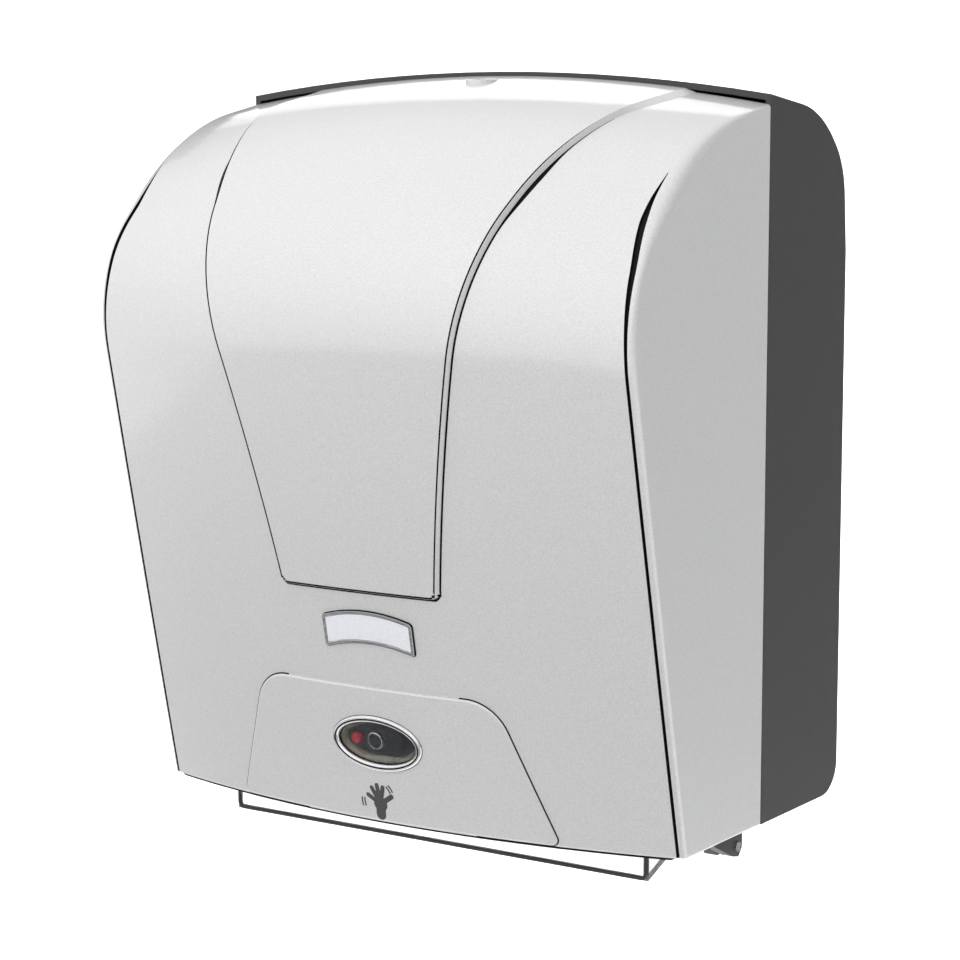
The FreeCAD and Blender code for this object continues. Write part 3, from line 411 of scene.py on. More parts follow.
def add_node(tree, kind, **inputs):
    """A new node of a kind, with its inputs set."""
    node = tree.nodes.new("ShaderNode" + kind)
    set_inputs(node, **inputs)
    return node


def noise(tree, scale, detail=3.0, stretch=(1, 1, 1)):
    """Noise in the object's own metres."""
    place = add_node(tree, "TexCoord")
    mapping = add_node(tree, "Mapping", Vector=place.outputs["Object"], Scale=stretch)
    texture = add_node(tree, "TexNoise", Vector=mapping.outputs["Vector"], Scale=scale, Detail=detail,
                       Roughness=0.5)
    return texture.outputs["Fac"]


def ramp(tree, source, low, high):
    """A colour ramp between two colours over a noise."""
    node = add_node(tree, "ValToRGB", Fac=source)
    for k, colour in enumerate((low, high)):
        node.color_ramp.elements[k].position = ramp_places[k]
        node.color_ramp.elements[k].color = (*colour, 1)
    return node.outputs["Color"]


def spread(tree, source, low, high):
    """A value that runs from low to high with a noise."""
    node = add_node(tree, "MapRange", Value=source, From_Min=noise_middle[0], From_Max=noise_middle[1],
                    To_Min=low, To_Max=high)
    return node.outputs["Result"]


def bump(tree, source, strength):
    """The normal of a fine grain."""
    node = add_node(tree, "Bump", Height=source, Strength=strength, Distance=grain_height)
    return node.outputs["Normal"]


def finish(name, low, high, rough, colour_scale=900.0, grain_scale=2200.0, grain=0.1,
           stretch=(1, 1, 1), **fixed):
    """A finish whose colour and roughness vary a little, with a fine grain. fixed goes to the shader."""
    material, tree, principled = shader(name)
    cloud = noise(tree, colour_scale, stretch=stretch)
    fine = noise(tree, grain_scale, 2.0, stretch=stretch)
    set_inputs(principled, Base_Color=ramp(tree, cloud, low, high), Roughness=spread(tree, cloud, *rough),
               Normal=bump(tree, fine, grain), **fixed)
    return material


silver = finish("silver paint", (0.70, 0.70, 0.705), (0.80, 0.80, 0.805), (0.38, 0.46),
                Metallic=0.35, colour_scale=1400.0, grain_scale=2600.0, grain=0.12,
                Coat_Weight=0.9, Coat_Roughness=0.09)
# Near-black that paints shade into the cover's seams and groove, the ring round the apron's foot, the
# oval ring's dark bands, the badge's foot and the strip under the cover's edge; it also colours the
# shoulder card
painted_shade_and_card_black = finish("seam shadow", (0.004, 0.004, 0.004), (0.009, 0.009, 0.009), (0.6, 0.7),
                   Specular_IOR_Level=0.2)
housing_dark = finish("dark housing plastic", (0.040, 0.040, 0.0415), (0.051, 0.051, 0.0525),
                      (0.45, 0.55), grain_scale=1500.0, grain=0.25)
frame_grey = finish("grey frame plastic", (0.12, 0.125, 0.13), (0.16, 0.165, 0.17), (0.45, 0.55),
                    grain=0.2)
chrome = finish("chrome plating", (0.86, 0.86, 0.87), (0.92, 0.92, 0.93), (0.04, 0.08),
                Metallic=1.0, grain=0.02)
steel = finish("ground steel", (0.50, 0.50, 0.52), (0.62, 0.62, 0.64), (0.24, 0.36),
               Metallic=1.0, stretch=(0.05, 1, 1), grain=0.15)
rubber = finish("black rubber", (0.012, 0.012, 0.012), (0.024, 0.024, 0.024), (0.65, 0.8), grain=0.35)
gear_plastic = finish("gear plastic", (0.66, 0.63, 0.56), (0.74, 0.71, 0.64), (0.4, 0.5),
                      Subsurface_Weight=0.1)
board_green = finish("circuit board", (0.010, 0.07, 0.03), (0.03, 0.16, 0.07), (0.3, 0.45),
                     colour_scale=300.0)
sensor_dark = finish("smoked plastic", (0.004, 0.006, 0.012), (0.010, 0.014, 0.026), (0.10, 0.18),
                     grain=0.05)
key_white = finish("light key plastic", (0.62, 0.62, 0.61), (0.70, 0.70, 0.69), (0.35, 0.45))
liner_beige = finish("sensor liner", (0.22, 0.20, 0.14), (0.32, 0.30, 0.22), (0.25, 0.4),
                     colour_scale=200.0)
badge_face = finish("badge enamel", (0.80, 0.81, 0.86), (0.86, 0.87, 0.91), (0.14, 0.2), grain=0.03)
print_grey = finish("printed ink", (0.055, 0.055, 0.057), (0.075, 0.075, 0.077), (0.5, 0.6), grain=0.05)
card_grey = finish("grey card", (0.27, 0.27, 0.27), (0.31, 0.31, 0.31), (0.7, 0.8))
pale_floor = finish("pale floor", (0.93, 0.93, 0.93), (0.95, 0.95, 0.95), (0.6, 0.7), grain=0.02,
                    colour_scale=3.0)


def clear_plastic(name, tint, rough, clearness=1.0):
    """Plastic that lets a share of the light through, with a tint that hardly varies."""
    material, tree, principled = shader(name)
    cloud = noise(tree, 60.0)
    deeper = tuple(clear_tint_share * c for c in tint)
    set_inputs(principled, Base_Color=ramp(tree, cloud, deeper, tint), IOR=clear_index,
               Roughness=spread(tree, cloud, rough, rough + clear_rough_range),
               Transmission_Weight=clearness)
    return material


def red_lens():
    """The status light's lens, which glows faintly."""
    material, tree, principled = shader("red lens")
    cloud = noise(tree, 1200.0)
    colour = ramp(tree, cloud, (0.30, 0.003, 0.012), (0.62, 0.02, 0.04))
    set_inputs(principled, Base_Color=colour, Emission_Color=colour, Emission_Strength=lens_glow,
               Roughness=spread(tree, cloud, 0.1, 0.2))
    return material


clear = clear_plastic("clear plastic", (0.97, 0.975, 0.98), 0.02)
frosted = clear_plastic("frosted chute plastic", (0.94, 0.94, 0.945), 0.15, 0.9)
by_slot = {
    "cover_silver": silver, "housing_dark": housing_dark, "frame_grey": frame_grey,
    "clear_plastic": clear, "chrome": chrome, "steel": steel, "rubber": rubber,
    "gear_plastic": gear_plastic, "board": board_green, "sensor_dark": sensor_dark,
    "led_red": red_lens(), "key_white": key_white,
}
by_node = {"paper_chute": frosted, "lock_barrel": silver}
for part in frame["record"]["subparts"]:
    node = nodes[part["node"]]
    node.data.materials.clear()
    node.data.materials.append(by_node.get(part["node"], by_slot[part["material_slot"]]))


# Front cover. The field's step has a row for each distance outside its edge, with the share of
# its height and the depth of the seam there
field_step = np.array([
    (-2.6, 1.0, 0.0),
    (-1.35, 1.0, 0.0),
    (-1.2, 1.0, seam_depth),
    (-0.65, 1.0, seam_depth),
    (-0.5, 1.0, 0.0),
    (-0.35, 0.96, 0.0),
    (0.45, 0.04, 0.0),
    (0.55, 0.0, 0.0),
    (0.7, 0.0, seam_depth),
    (1.3, 0.0, seam_depth),
    (1.45, 0.0, 0.0),
    (2.6, 0.0, 0.0),
])
step_places, step_share, step_sink = field_step.T
seam_lip = 0.5
seam_reach = 0.96
seam_least = 0.04
# Distances from the field's edge whose seam quads are painted dark as shade, the least seam share that
# keeps this painted shade, and the least groove width that is painted dark as shade
inner_seam = (-1.42, -0.43)
outer_seam = (0.48, 1.52)
dark_seam_share = 0.01
dark_groove_width = 0.05

# The cover's grid: places of its rows and columns, and how many lie between them
corner_places = (-3.1, -3.5, -3.9, -4.3, -4.8)
inner_margin = 4.8
outer_margin = 6.0
outer_places = (outer_margin, 4.5, 3.5)
rows_below_field = 55
rows_above_foot = 127
middle_columns = np.arange(0, 27, 2.0)
flank_columns = (0.25, 0.5, 0.75)
panel_columns = 13
beyond_step = 3.0
edge_turns = 7
rounding_turns = 3
half_width_tries = 5
cover_sharp = 48.0


def cover_rows():
    """Rows as shares of the lengths at the bottom, the field's foot and the split, and an offset."""
    below = np.linspace(0, 1, rows_below_field + 1)[:-1]
    above = np.linspace(0, 1, rows_above_foot + 1)[1:]
    rows = [(1 - t, t, 0, -outer_margin * t) for t in below]
    rows += [(0, 1, 0, -over) for over in (*outer_places, *step_places[::-1], *corner_places)]
    rows += [(0, 1 - t, t, inner_margin * (1 - t)) for t in above]
    return np.array(rows)


rows = cover_rows()


def groove_half_width(z):
    """Half the width of the groove beside the side edge at a height. The groove is painted dark as shade.
    """
    narrowed = smooth_step(groove_wide_at - z, 0, groove_narrowing)
    narrow = groove_widest + (groove_width - groove_widest) * narrowed
    tip = np.clip((groove_top - z) / (groove_top - groove_wide_at), 0, 1)
    return np.where(z > groove_wide_at, groove_widest * tip, narrow) / 2


def edge_arc(s, corner_x, lift, radius, turns):
    """The rounded side edge at lengths s: from the front, turn 0, to the flat side wall, turn 1."""
    corner, normal = front(corner_x, s, lift)
    flat = np.hypot(normal[:, 1], normal[:, 2])
    up = np.stack([0 * flat, normal[:, 1] / flat, normal[:, 2] / flat], 1)
    phi = np.arcsin(normal[:, 0])
    depth = radius * (1 - np.sin(phi)) / np.cos(phi)
    centre = corner - up * depth[:, None]
    centre[:, 0] -= radius
    angle = phi[:, None] + (math.pi / 2 - phi[:, None]) * turns
    out = up[:, None, :] * np.cos(angle)[..., None]
    out[..., 0] = np.sin(angle)
    return centre[:, None, :] + out * np.broadcast_to(radius, s.shape)[:, None, None], out


def quad_middles(grid):
    """The mean of each quad's four corners."""
    return (grid[1:, 1:] + grid[:-1, 1:] + grid[1:, :-1] + grid[:-1, :-1]) / 4


def cover_side():
    """The right half of the cover from the middle: outer points, normals, inner points and the quads
    painted dark as shade in the seams and the groove.
    """
    side_s = row_length(rows, np.full((len(rows), 1), half_width))[:, 0]
    side_points = front(half_width, side_s)[0]
    shoulder = smooth_step(side_points[:, 2], *shoulder_range)
    near_split = smooth_step(side_points[:, 1], *split_corner_range)
    radius = (edge_radius + (shoulder_radius - edge_radius) * shoulder) * (1 - near_split)
    radius += split_corner_radius * near_split
    normal_x = front(half_width, side_s)[1][:, 0]
    edge_start = half_width - radius * (1 - normal_x)

    half = np.full(len(rows), field_foot_half)
    for _ in range(half_width_tries):
        flank = front(half, row_length(rows, half[:, None])[:, 0])[0]
        half = field_half(flank[:, 2])
    fade = smooth_step(flank[:, 1], *field_fade)
    proud = field_proud + (field_proud_at_split - field_proud) * fade
    wedge = wedge_width * smooth_step(flank[:, 2], *wedge_rise)
    wedge *= 1 - smooth_step(flank[:, 2], *wedge_fall)

    soften = 1 + top_softening * fade
    places = [np.full(len(rows), x) for x in middle_columns]
    inner_end = half - inner_margin * soften
    last = middle_columns[-1]
    places += [last + (inner_end - last) * t for t in flank_columns]
    nominal = [x - half for x in places]
    seam_share = 1 - smooth_step(flank[:, 1], *seam_fade)
    for over in (*corner_places[::-1], *step_places):
        lip = math.copysign(seam_lip, over)
        taper = seam_least + (1 - seam_least) * seam_share if abs(over - lip) < seam_reach else 1.0
        places.append(half + (lip + (over - lip) * taper) * soften + (wedge if over > 1 else 0))
        nominal.append(np.full(len(rows), over))
    width = groove_half_width(side_points[:, 2])
    outer_lip = edge_start - groove_inset
    inner_lip = outer_lip - 2 * np.maximum(width, groove_least_width)
    last = places[-1]
    places += [last + (inner_lip - last) * t for t in np.linspace(0, 1, panel_columns + 1)[1:]]
    groove_first = len(places) - 1
    places += [inner_lip + groove_lip, outer_lip - groove_lip, outer_lip]
    nominal += [np.full(len(rows), beyond_step)] * (len(places) - len(nominal))
    x, nominal = np.stack(places, 1), np.stack(nominal, 1)
    s = row_length(rows, x)
    below = np.interp(x, place_x, place_foot) - s
    inside_corner = (nominal > -field_corner) & (below > -field_corner)
    rounded = np.hypot(nominal + field_corner, below + field_corner) - field_corner
    distance = np.where(inside_corner, rounded, np.maximum(nominal, below))
    lift = proud[:, None] * np.interp(distance, step_places, step_share)
    lift -= np.interp(distance, step_places, step_sink) * seam_share[:, None]
    sink = np.minimum(groove_depth, width * groove_flank) * (width > 0)
    lift[:, groove_first + 1] -= sink
    lift[:, groove_first + 2] -= sink
    points, normals = front(x, s, lift)
    inner_x = np.minimum(x - cover_wall * normals[..., 0], half_width - cover_wall - inner_clearance)
    inner = front(inner_x, s, -cover_wall)[0]

    turns = np.linspace(0, 1, edge_turns)
    arc, arc_normals = edge_arc(side_s, half_width, 0.0, radius, turns)
    inner_radius = np.maximum(radius - cover_wall, inner_least_radius)
    inner_arc, _ = edge_arc(side_s, half_width - cover_wall, -cover_wall, inner_radius, turns)
    wall_end = arc[:, -1:].copy()
    inner_end = inner_arc[:, -1:].copy()
    wall_end[..., 1] = split_y - rim_round
    inner_end[..., 1] = split_y
    outer = np.concatenate([points, arc, wall_end], 1)
    normals = np.concatenate([normals, arc_normals, arc_normals[:, -1:]], 1)
    inner = np.concatenate([inner, inner_arc, inner_end], 1)
    # Quads of the seams and the groove get the dark slot: painted shade
    dark = np.zeros((len(rows) - 1, outer.shape[1] - 1), bool)
    centre = quad_middles(distance)
    seam = (centre > inner_seam[0]) & (centre < inner_seam[1])
    seam |= (centre > outer_seam[0]) & (centre < outer_seam[1])
    dark[:, :seam.shape[1]] = seam & (seam_share[1:, None] > dark_seam_share)
    dark[:, groove_first:groove_first + 3] = width[1:, None] > dark_groove_width
    return outer, normals, inner, dark


def round_off(outer, normals, inner):
    """Flattens the grid's ends onto the bottom and the split, and rounds the rim over there."""
    outer[0, :, 2] = case_bottom + rim_round
    inner[0, :, 2] = case_bottom
    outer[:, :, 1] = np.minimum(outer[:, :, 1], split_y - rim_round)
    outer[-1, :, 1] = split_y - rim_round
    inner[:, :, 1] = np.minimum(inner[:, :, 1], split_y)
    inner[-1, :, 1] = split_y
    angles = np.linspace(0, math.pi / 2, rounding_turns + 1)[1:]
    steps = [(rim_round * (1 - math.cos(a)), rim_round * (1 - math.sin(a))) for a in angles]
    level = normals[0] * (1, 1, 0)
    level /= np.linalg.norm(level, axis=1)[:, None]
    low = []
    for inset, short in steps[::-1]:
        ring = outer[0] - level * inset
        ring[:, 2] = case_bottom + short
        low.append(ring)
    high = []
    for inset, short in steps:
        ring = outer[-1] - normals[-1] * inset
        ring[:, 1] = split_y - short
        high.append(ring)
    outer = np.concatenate([np.array(low), outer, np.array(high)])
    ends = []
    for inset, short in steps:
        ring = outer[:, -1].copy()
        ring[:, 0] = np.minimum(ring[:, 0], half_width - inset)
        ring[:, 1] = np.maximum(ring[:, 1], split_y - short)
        ends.append(ring)
    outer = np.concatenate([outer, np.stack(ends, 1)], 1)
    pick_row = np.clip(np.arange(outer.shape[0]) - rounding_turns, 0, inner.shape[0] - 1)
    pick_column = np.clip(np.arange(outer.shape[1]), 0, inner.shape[1] - 1)
    return outer, inner[pick_row][:, pick_column]


def mirror_grid(grid):
    """The whole grid from its right half, whose first column is the middle."""
    left = grid[:, :0:-1] * (-1, 1, 1)
    return np.concatenate([left, grid], 1)


def snap_hole(outer, inner, kept, where, place, below):
    """Removes the quads of a hole, moves its rim onto the true outline and sets the points below it."""
    gone = where(quad_middles(outer)) < 1
    kept &= ~gone
    touched = np.zeros(outer.shape[:2], int)
    for di in (0, 1):
        for dj in (0, 1):
            touched[di:di + gone.shape[0], dj:dj + gone.shape[1]] += gone
    rim = (touched > 0) & (touched < 4)
    for i, j in np.argwhere(rim):
        outer[i, j] = place(outer[i, j], where(outer[i, j]))
        inner[i, j] = outer[i, j] + below


def flange(inner):
    """The flat lip round the opening in the cover's bottom."""
    edge = inner[0]
    well = np.stack([np.clip(edge[:, 0], -opening_half, opening_half),
                     np.maximum(edge[:, 1], -opening_depth), edge[:, 2]], 1)
    top = np.array([0, 0, cover_wall])
    rings = np.stack([edge, well, well + top, edge + top])
    count = rings.shape[1]
    faces = []
    for m in range(4):
        for k in range(count - 1):
            a, b = m * count + k, ((m + 1) % 4) * count + k
            faces.append([a, b, b + 1, a + 1])
    faces.append([0, 3 * count, 2 * count, count])
    faces.append([count - 1, 2 * count - 1, 3 * count - 1, 4 * count - 1])
    return rings.reshape(-1, 3), faces


# The cover's two holes. A share is below 1 inside, 1 on the rim and far_off elsewhere
far_off = 3.0
front_only = -150.0
top_only = 150.0
hole_half = (oval_half_width - bezel_width / 2, oval_half_height - bezel_width / 2)


def oval_share(p):
    """How far out a point lies from the oval's middle, as a share of its hole."""
    share = p[..., 0] ** 2 / hole_half[0] ** 2 + (p[..., 2] - oval_height) ** 2 / hole_half[1] ** 2
    return np.where(p[..., 1] < front_only, np.sqrt(share), far_off)


def lock_share(p):
    """How far out a point lies from the lock's axis, as a share of its hole."""
    share = np.hypot(p[..., 0], p[..., 1] - lock_y) / lock_hole_radius
    return np.where(p[..., 2] > top_only, share, far_off)


def onto_oval(p, share):
    """The point of the oval's rim nearest to one beside it."""
    return front_at(p[0] / share, oval_height + (p[2] - oval_height) / share)


def onto_lock(p, share):
    """The point of the lock's rim nearest to one beside it."""
    moved = p.copy()
    moved[0] = p[0] / share
    moved[1] = lock_y + (p[1] - lock_y) / share
    moved[2] = p[2] + (moved[1] - p[1]) * top_rise
    return moved


def make_cover():
    """The cover as one closed shell: outer skin, inner skin behind it and the rims between them."""
    outer, normals, inner, dark = cover_side()
    outer, inner = round_off(outer, normals, inner)
    # The painted shade of the seams and the groove, carried over the rounded rows and mirrored
    padded = np.zeros((outer.shape[0] - 1, outer.shape[1] - 1), bool)
    padded[rounding_turns:rounding_turns + dark.shape[0], :dark.shape[1]] = dark
    padded[:rounding_turns, :dark.shape[1]] = dark[0]
    outer = mirror_grid(outer)
    inner = mirror_grid(inner)
    padded = np.concatenate([padded[:, ::-1], padded], 1)
    kept = np.ones(padded.shape, bool)
    straight_back = np.array([0, math.cos(front_lean), math.sin(front_lean)]) * cover_wall
    straight_down = np.array([0, 0, -cover_wall - field_proud])
    snap_hole(outer, inner, kept, oval_share, onto_oval, straight_back)
    snap_hole(outer, inner, kept, lock_share, onto_lock, straight_down)
    vertices, faces, slots = shell_from_grids(outer, inner, kept, padded)
    vertices, faces = join((vertices, faces), flange(inner))
    slots += [0] * (len(faces) - len(slots))
    surface = (vertices, faces)
    cover = add_mesh("cover_shell", surface, [silver, painted_shade_and_card_black], "cover", slots, cover_sharp)
    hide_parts("front_cover")


make_cover()


# Raised plates, rings and strips on the front
def inward_normals(outline):
    """Inward normals of a closed outline in (x, z) that runs anticlockwise."""
    step = np.roll(outline, -1, 0) - np.roll(outline, 1, 0)
    inward = np.stack([-step[:, 1], step[:, 0]], 1)
    return inward / np.linalg.norm(inward, axis=1)[:, None]


def rounded_outline(corners, radii, step=1.0):
    """A closed outline through corners in (x, z), anticlockwise, with an arc of its radius at each."""
    path = []
    count = len(corners)
    for k in range(count):
        before, tip, after = (np.array(corners[(k + d) % count], float) for d in (-1, 0, 1))
        piece = rounded_path([(before + tip) / 2, tip, (tip + after) / 2], (radii[k],), step)
        path.append(piece[:-1])
    return np.concatenate(path)


def plate_rings(outline, levels, fill, crown=0.0):
    """Rings of a raised plate: up over its edge by (inset, lift), in to its middle, and back below."""
    inward = inward_normals(outline)
    edge = [(outline + inward * inset, lift) for inset, lift in levels]
    top, lift = edge[-1]
    middle = (top.min(0) + top.max(0)) / 2
    inside = [(middle + (top - middle) * t, lift + crown * (1 - t * t)) for t in fill]
    base = edge[0][1]
    under = [(ring, base) for ring, _ in reversed(inside)]
    return [front_at(ring[:, 0], ring[:, 1], height) for ring, height in edge + inside + under]


def band_slots(rings, slots, last):
    """One slot for each quad of the bands between rings, and the last for the rest."""
    count = len(rings[0])
    return [slots[m] if m < len(slots) else last for m in range(len(rings)) for _ in range(count)]


def strip(path, width, low, high):
    """A flat strip along a path in (x, z) on the front, between two lifts."""
    path = np.array(path)
    along = np.gradient(path, axis=0)
    side = np.stack([-along[:, 1], along[:, 0]], 1)
    side *= width / 2 / np.linalg.norm(side, axis=1)[:, None]
    left, right = path + side, path - side
    corners = [(left, low), (right, low), (right, high), (left, high)]
    rings = np.stack([front_at(p[:, 0], p[:, 1], lift) for p, lift in corners], 1)
    return ring_surface(rings)


def ellipse(half_x, half_z, count=96):
    """An ellipse about the oval's middle, in (x, z)."""
    a = np.linspace(0, 2 * math.pi, count, endpoint=False)
    return np.stack([half_x * np.cos(a), oval_height + half_z * np.sin(a)], 1)


# Sensor apron
apron_round = 0.9
apron_foot_corner = 3.0
apron_rings = 25
# A low ring round the apron's foot, painted dark as shade on its flanks: where in x the painted shade
# starts, and the ring's width, lift and edge
shade_ring_from = 50.0
shade_ring_width = 0.6
shade_ring_lift = 0.28
shade_ring_edge = 0.1


def make_apron():
    """The raised skin round the oval: an outline with rounded corners, less the oval's hole."""
    foot_half = apron_top_half + (apron_top - apron_foot) * apron_slope
    corners = [(-foot_half, apron_foot), (foot_half, apron_foot),
               (apron_top_half, apron_top), (-apron_top_half, apron_top)]
    radii = (apron_foot_corner, apron_foot_corner, apron_corner, apron_corner)
    outline = rounded_outline(corners, radii)
    inward = inward_normals(outline)
    angle = np.arctan2((outline[:, 1] - oval_height) * oval_half_width,
                       outline[:, 0] * oval_half_height)
    hole = np.stack([hole_half[0] * np.cos(angle), oval_height + hole_half[1] * np.sin(angle)], 1)
    shade_ring = [(-shade_ring_width, plate_seat), (-shade_ring_width + shade_ring_edge, shade_ring_lift), (0.0, shade_ring_lift)]
    edge = [(0.0, apron_proud - apron_round)]
    for a in (30, 60, 90):
        inset = apron_round * (1 - math.cos(math.radians(a)))
        edge.append((inset, apron_proud - apron_round * (1 - math.sin(math.radians(a)))))
    rings = [front_at(*(outline + inward * inset).T, lift) for inset, lift in shade_ring + edge]
    start = outline + inward * apron_round
    shares = np.linspace(0, 1, apron_rings + 1)[1:]
    rings += [front_at(*(start + (hole - start) * t).T, apron_proud) for t in shares]
    rings += [front_at(*(start + (hole - start) * t).T, plate_seat) for t in shares[::-1]]
    surface = ring_surface(rings, closed=True)
    # The foot ring's bands are painted dark as shade where x lies beyond that start, and stay silver
    # along the top
    slots = np.array(band_slots(rings, [1, 1, 1], 0)).reshape(len(rings), -1)
    slots[:, np.abs(outline[:, 0]) < shade_ring_from] = 0
    slots = slots.ravel().tolist()
    apron = add_mesh("apron_skin", surface, [silver, painted_shade_and_card_black], "cover", slots)
    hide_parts("sensor_apron")


make_apron()

# Oval ring: its section as (share of the width from outside, lift, slot of the band that starts
# there), where slot 0 is chrome and slot 1 is dark, painted shade at the ring's foot, in the
# valley between its steps and on its inner wall
bezel_section = (
    (-0.08, 0.5, 1), (-0.08, 1.3, 1), (0.0, 1.4, 0), (0.03, 1.95, 0), (0.1, 2.3, 0),
    (0.2, 2.5, 0), (0.3, 2.55, 0), (0.38, 2.4, 1), (0.42, 1.9, 1), (0.56, 1.9, 1),
    (0.6, 2.3, 0), (0.68, 2.35, 0), (0.78, 2.15, 0), (0.88, 1.7, 0), (0.95, 1.1, 1),
    (1.0, 0.2, 1), (1.0, -2.6, 1), (0.86, -2.6, 1), (0.8, 0.1, 1), (0.5, 0.5, 1),
)
bezel_sharp = 60.0
window_margin = 3.8
window_seat = 0.3
window_wall = 0.9
window_crown = 1.2
window_shares = np.linspace(0.04, 1, 14)
window_points = 64


def make_bezel():
    """The oval chrome ring in two steps with a dark line between them, painted shade like its dark foot
    and inner wall.
    """
    rings = []
    for share, lift, _ in bezel_section:
        inset = share * bezel_width
        rings.append(front_at(*ellipse(oval_half_width - inset, oval_half_height - inset).T, lift))
    surface = ring_surface(rings, closed=True)
    slots = band_slots(rings, [slot for _, _, slot in bezel_section], 1)
    ring = add_mesh("oval_ring", surface, [chrome, painted_shade_and_card_black], "cover", slots, bezel_sharp)
    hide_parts("sensor_bezel")


def make_window():
    """The clear window: a thin dome that fills the ring."""
    half_x = oval_half_width - window_margin
    half_z = oval_half_height - window_margin
    rings = []
    for base, shares in ((window_seat, window_shares), (window_seat - window_wall, window_shares[::-1])):
        for t in shares:
            lift = base + window_crown * (1 - t ** 2)
            rings.append(front_at(*ellipse(half_x * t, half_z * t, window_points).T, lift))
    window = add_mesh("oval_window", ring_surface(rings[::-1]), [clear], "cover")
    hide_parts("sensor_window")


# What lies behind the window: the liner's rings as (half width, half height, lift), and the eyes'
# and the dome's as (radius, lift)
liner_rings = (
    (22.5, 10.3, -0.9), (21.6, 9.6, -1.3), (20.6, 8.8, -2.2), (19.9, 8.2, -3.1), (19.9, 8.2, -4.6),
    (22.5, 10.3, -4.6),
)
liner_points = 64
disc_points = 40
receiver_x = -2.5
status_light_x = -14.0
emitter_x = 10.5
eye_profile = ((3.3, -3.0), (3.5, -1.6), (3.9, -1.2), (4.3, -1.4), (4.6, -2.2), (4.6, -3.2))
dome_profile = ((2.9, -3.3), (2.9, -2.2), (2.6, -1.5), (2.0, -1.0), (1.2, -0.7), (0.2, -0.6))


def disc_rings(x, profile):
    """Rings about a point of the oval's middle line, from (radius, lift) of each."""
    return [front_at(*(ellipse(r, r, disc_points) + (x, 0)).T, lift) for r, lift in profile]


def make_sensor_trim():
    """The liner between ring and sensor body, the rings round the two eyes and the light's dome."""
    rings = [front_at(*ellipse(x, z, liner_points).T, lift) for x, z, lift in liner_rings]
    surface = ring_surface(rings[::-1], closed=True)
    liner = add_mesh("sensor_liner", surface, [liner_beige], "cover")
    eyes = (("receiver_ring", receiver_x, steel), ("emitter_ring", emitter_x, sensor_dark))
    for name, x, material in eyes:
        surface = ring_surface(disc_rings(x, eye_profile)[::-1], closed=True)
        eye = add_mesh(name, surface, [material], "cover")
    surface = ring_surface(disc_rings(status_light_x, dome_profile))
    light = add_mesh("status_dome", surface, [by_slot["led_red"]], "cover")


make_bezel()
make_window()
make_sensor_trim()

# Badge: a blank plate with arched edges. Its levels are (inset, lift)
badge_x = 2.6
badge_height = -76.0
badge_half = (26.0, 8.0)
badge_corner = 1.6
badge_rise = 4.0
badge_levels = (
    (-0.35, plate_seat), (-0.3, 0.6), (0.0, 0.6), (0.05, 1.0), (0.3, 1.3), (1.35, 1.3), (1.6, 1.0),
    (1.75, 0.95),
)
# Slot 1 paints the foot and a line inside the steel edge dark as shade
badge_level_slots = (1, 1, 1, 0, 0, 0, 1)
badge_fill = (0.8, 0.6, 0.4, 0.2, 0.0)
badge_crown = 0.15


def make_badge():
    """The blank badge: a foot painted dark as shade, a steel edge with a line inside it painted dark as
    shade, and an enamel face.
    """
    half_x, half_z = badge_half
    corners = [(-half_x, -half_z), (half_x, -half_z), (half_x, half_z), (-half_x, half_z)]
    outline = rounded_outline(corners, [badge_corner] * 4, 0.5)
    outline[:, 1] += badge_height - badge_rise * (outline[:, 0] / half_x) ** 2
    outline[:, 0] += badge_x
    rings = plate_rings(outline, badge_levels, badge_fill, badge_crown)
    surface = ring_surface(rings, closed=True)
    slots = band_slots(rings, badge_level_slots, 2)
    badge = add_mesh("front_plate", surface, [steel, painted_shade_and_card_black, badge_face], "cover", slots)


make_badge()

# Pictogram: an open hand with short arcs of movement beside it. Fingers and wrist are capsules
# as (direction in degrees, length, radius), and the arcs are (centre, radius, first, last degree)
hand_place = (-2.2, -166.3)
hand_points = 240
palm_radius = 3.9
hand_capsules = (
    (34, 8.4, 1.3), (75, 9.2, 1.2), (96, 9.7, 1.2), (118, 9.0, 1.2), (150, 8.0, 1.15), (-94, 5.4, 2.8),
)
hand_fill = (0.7, 0.4, 0.0)
arcs_of_movement = (
    ((-2.0, 3.0), 9.2, 20, 46), ((-2.0, 3.0), 10.8, 22, 44),
    ((-2.0, 0.5), 7.4, 166, 200), ((-2.0, 0.5), 9.0, 168, 198),
)
arc_width = 0.75
arc_points = 14
print_lift = (apron_proud - 0.3, apron_proud + 0.12)
print_edge = 0.05


def capsule_exit(angle, direction, length, radius):
    """How far a ray from the palm's middle runs inside a finger that starts there."""
    turn = abs((angle - math.radians(direction) + math.pi) % (2 * math.pi) - math.pi)
    if turn > math.pi / 2:
        return 0.0
    if radius < length * math.tan(turn):
        return radius / math.sin(turn)
    return length * math.cos(turn) + math.sqrt(radius ** 2 - (length * math.sin(turn)) ** 2)


def make_pictogram():
    """The hand and its arcs as one thin raised print."""
    angles = np.linspace(0, 2 * math.pi, hand_points, endpoint=False)
    reach = [max(palm_radius, *(capsule_exit(a, *c) for c in hand_capsules)) for a in angles]
    hand = np.stack([np.cos(angles) * reach, np.sin(angles) * reach], 1) + hand_place
    low, high = print_lift
    levels = [(0.0, low), (0.0, high - print_edge), (print_edge, high)]
    shapes = [ring_surface(plate_rings(hand, levels, hand_fill), closed=True)]
    for centre, radius, first, last in arcs_of_movement:
        turn = np.radians(np.linspace(first, last, arc_points))
        path = np.stack([np.cos(turn) * radius + hand_place[0] + centre[0],
                         np.sin(turn) * radius + hand_place[1] + centre[1]], 1)
        shapes.append(strip(path, arc_width, low, high))
    sign = add_mesh("hand_sign", join(*shapes), [print_grey], "cover")


make_pictogram()

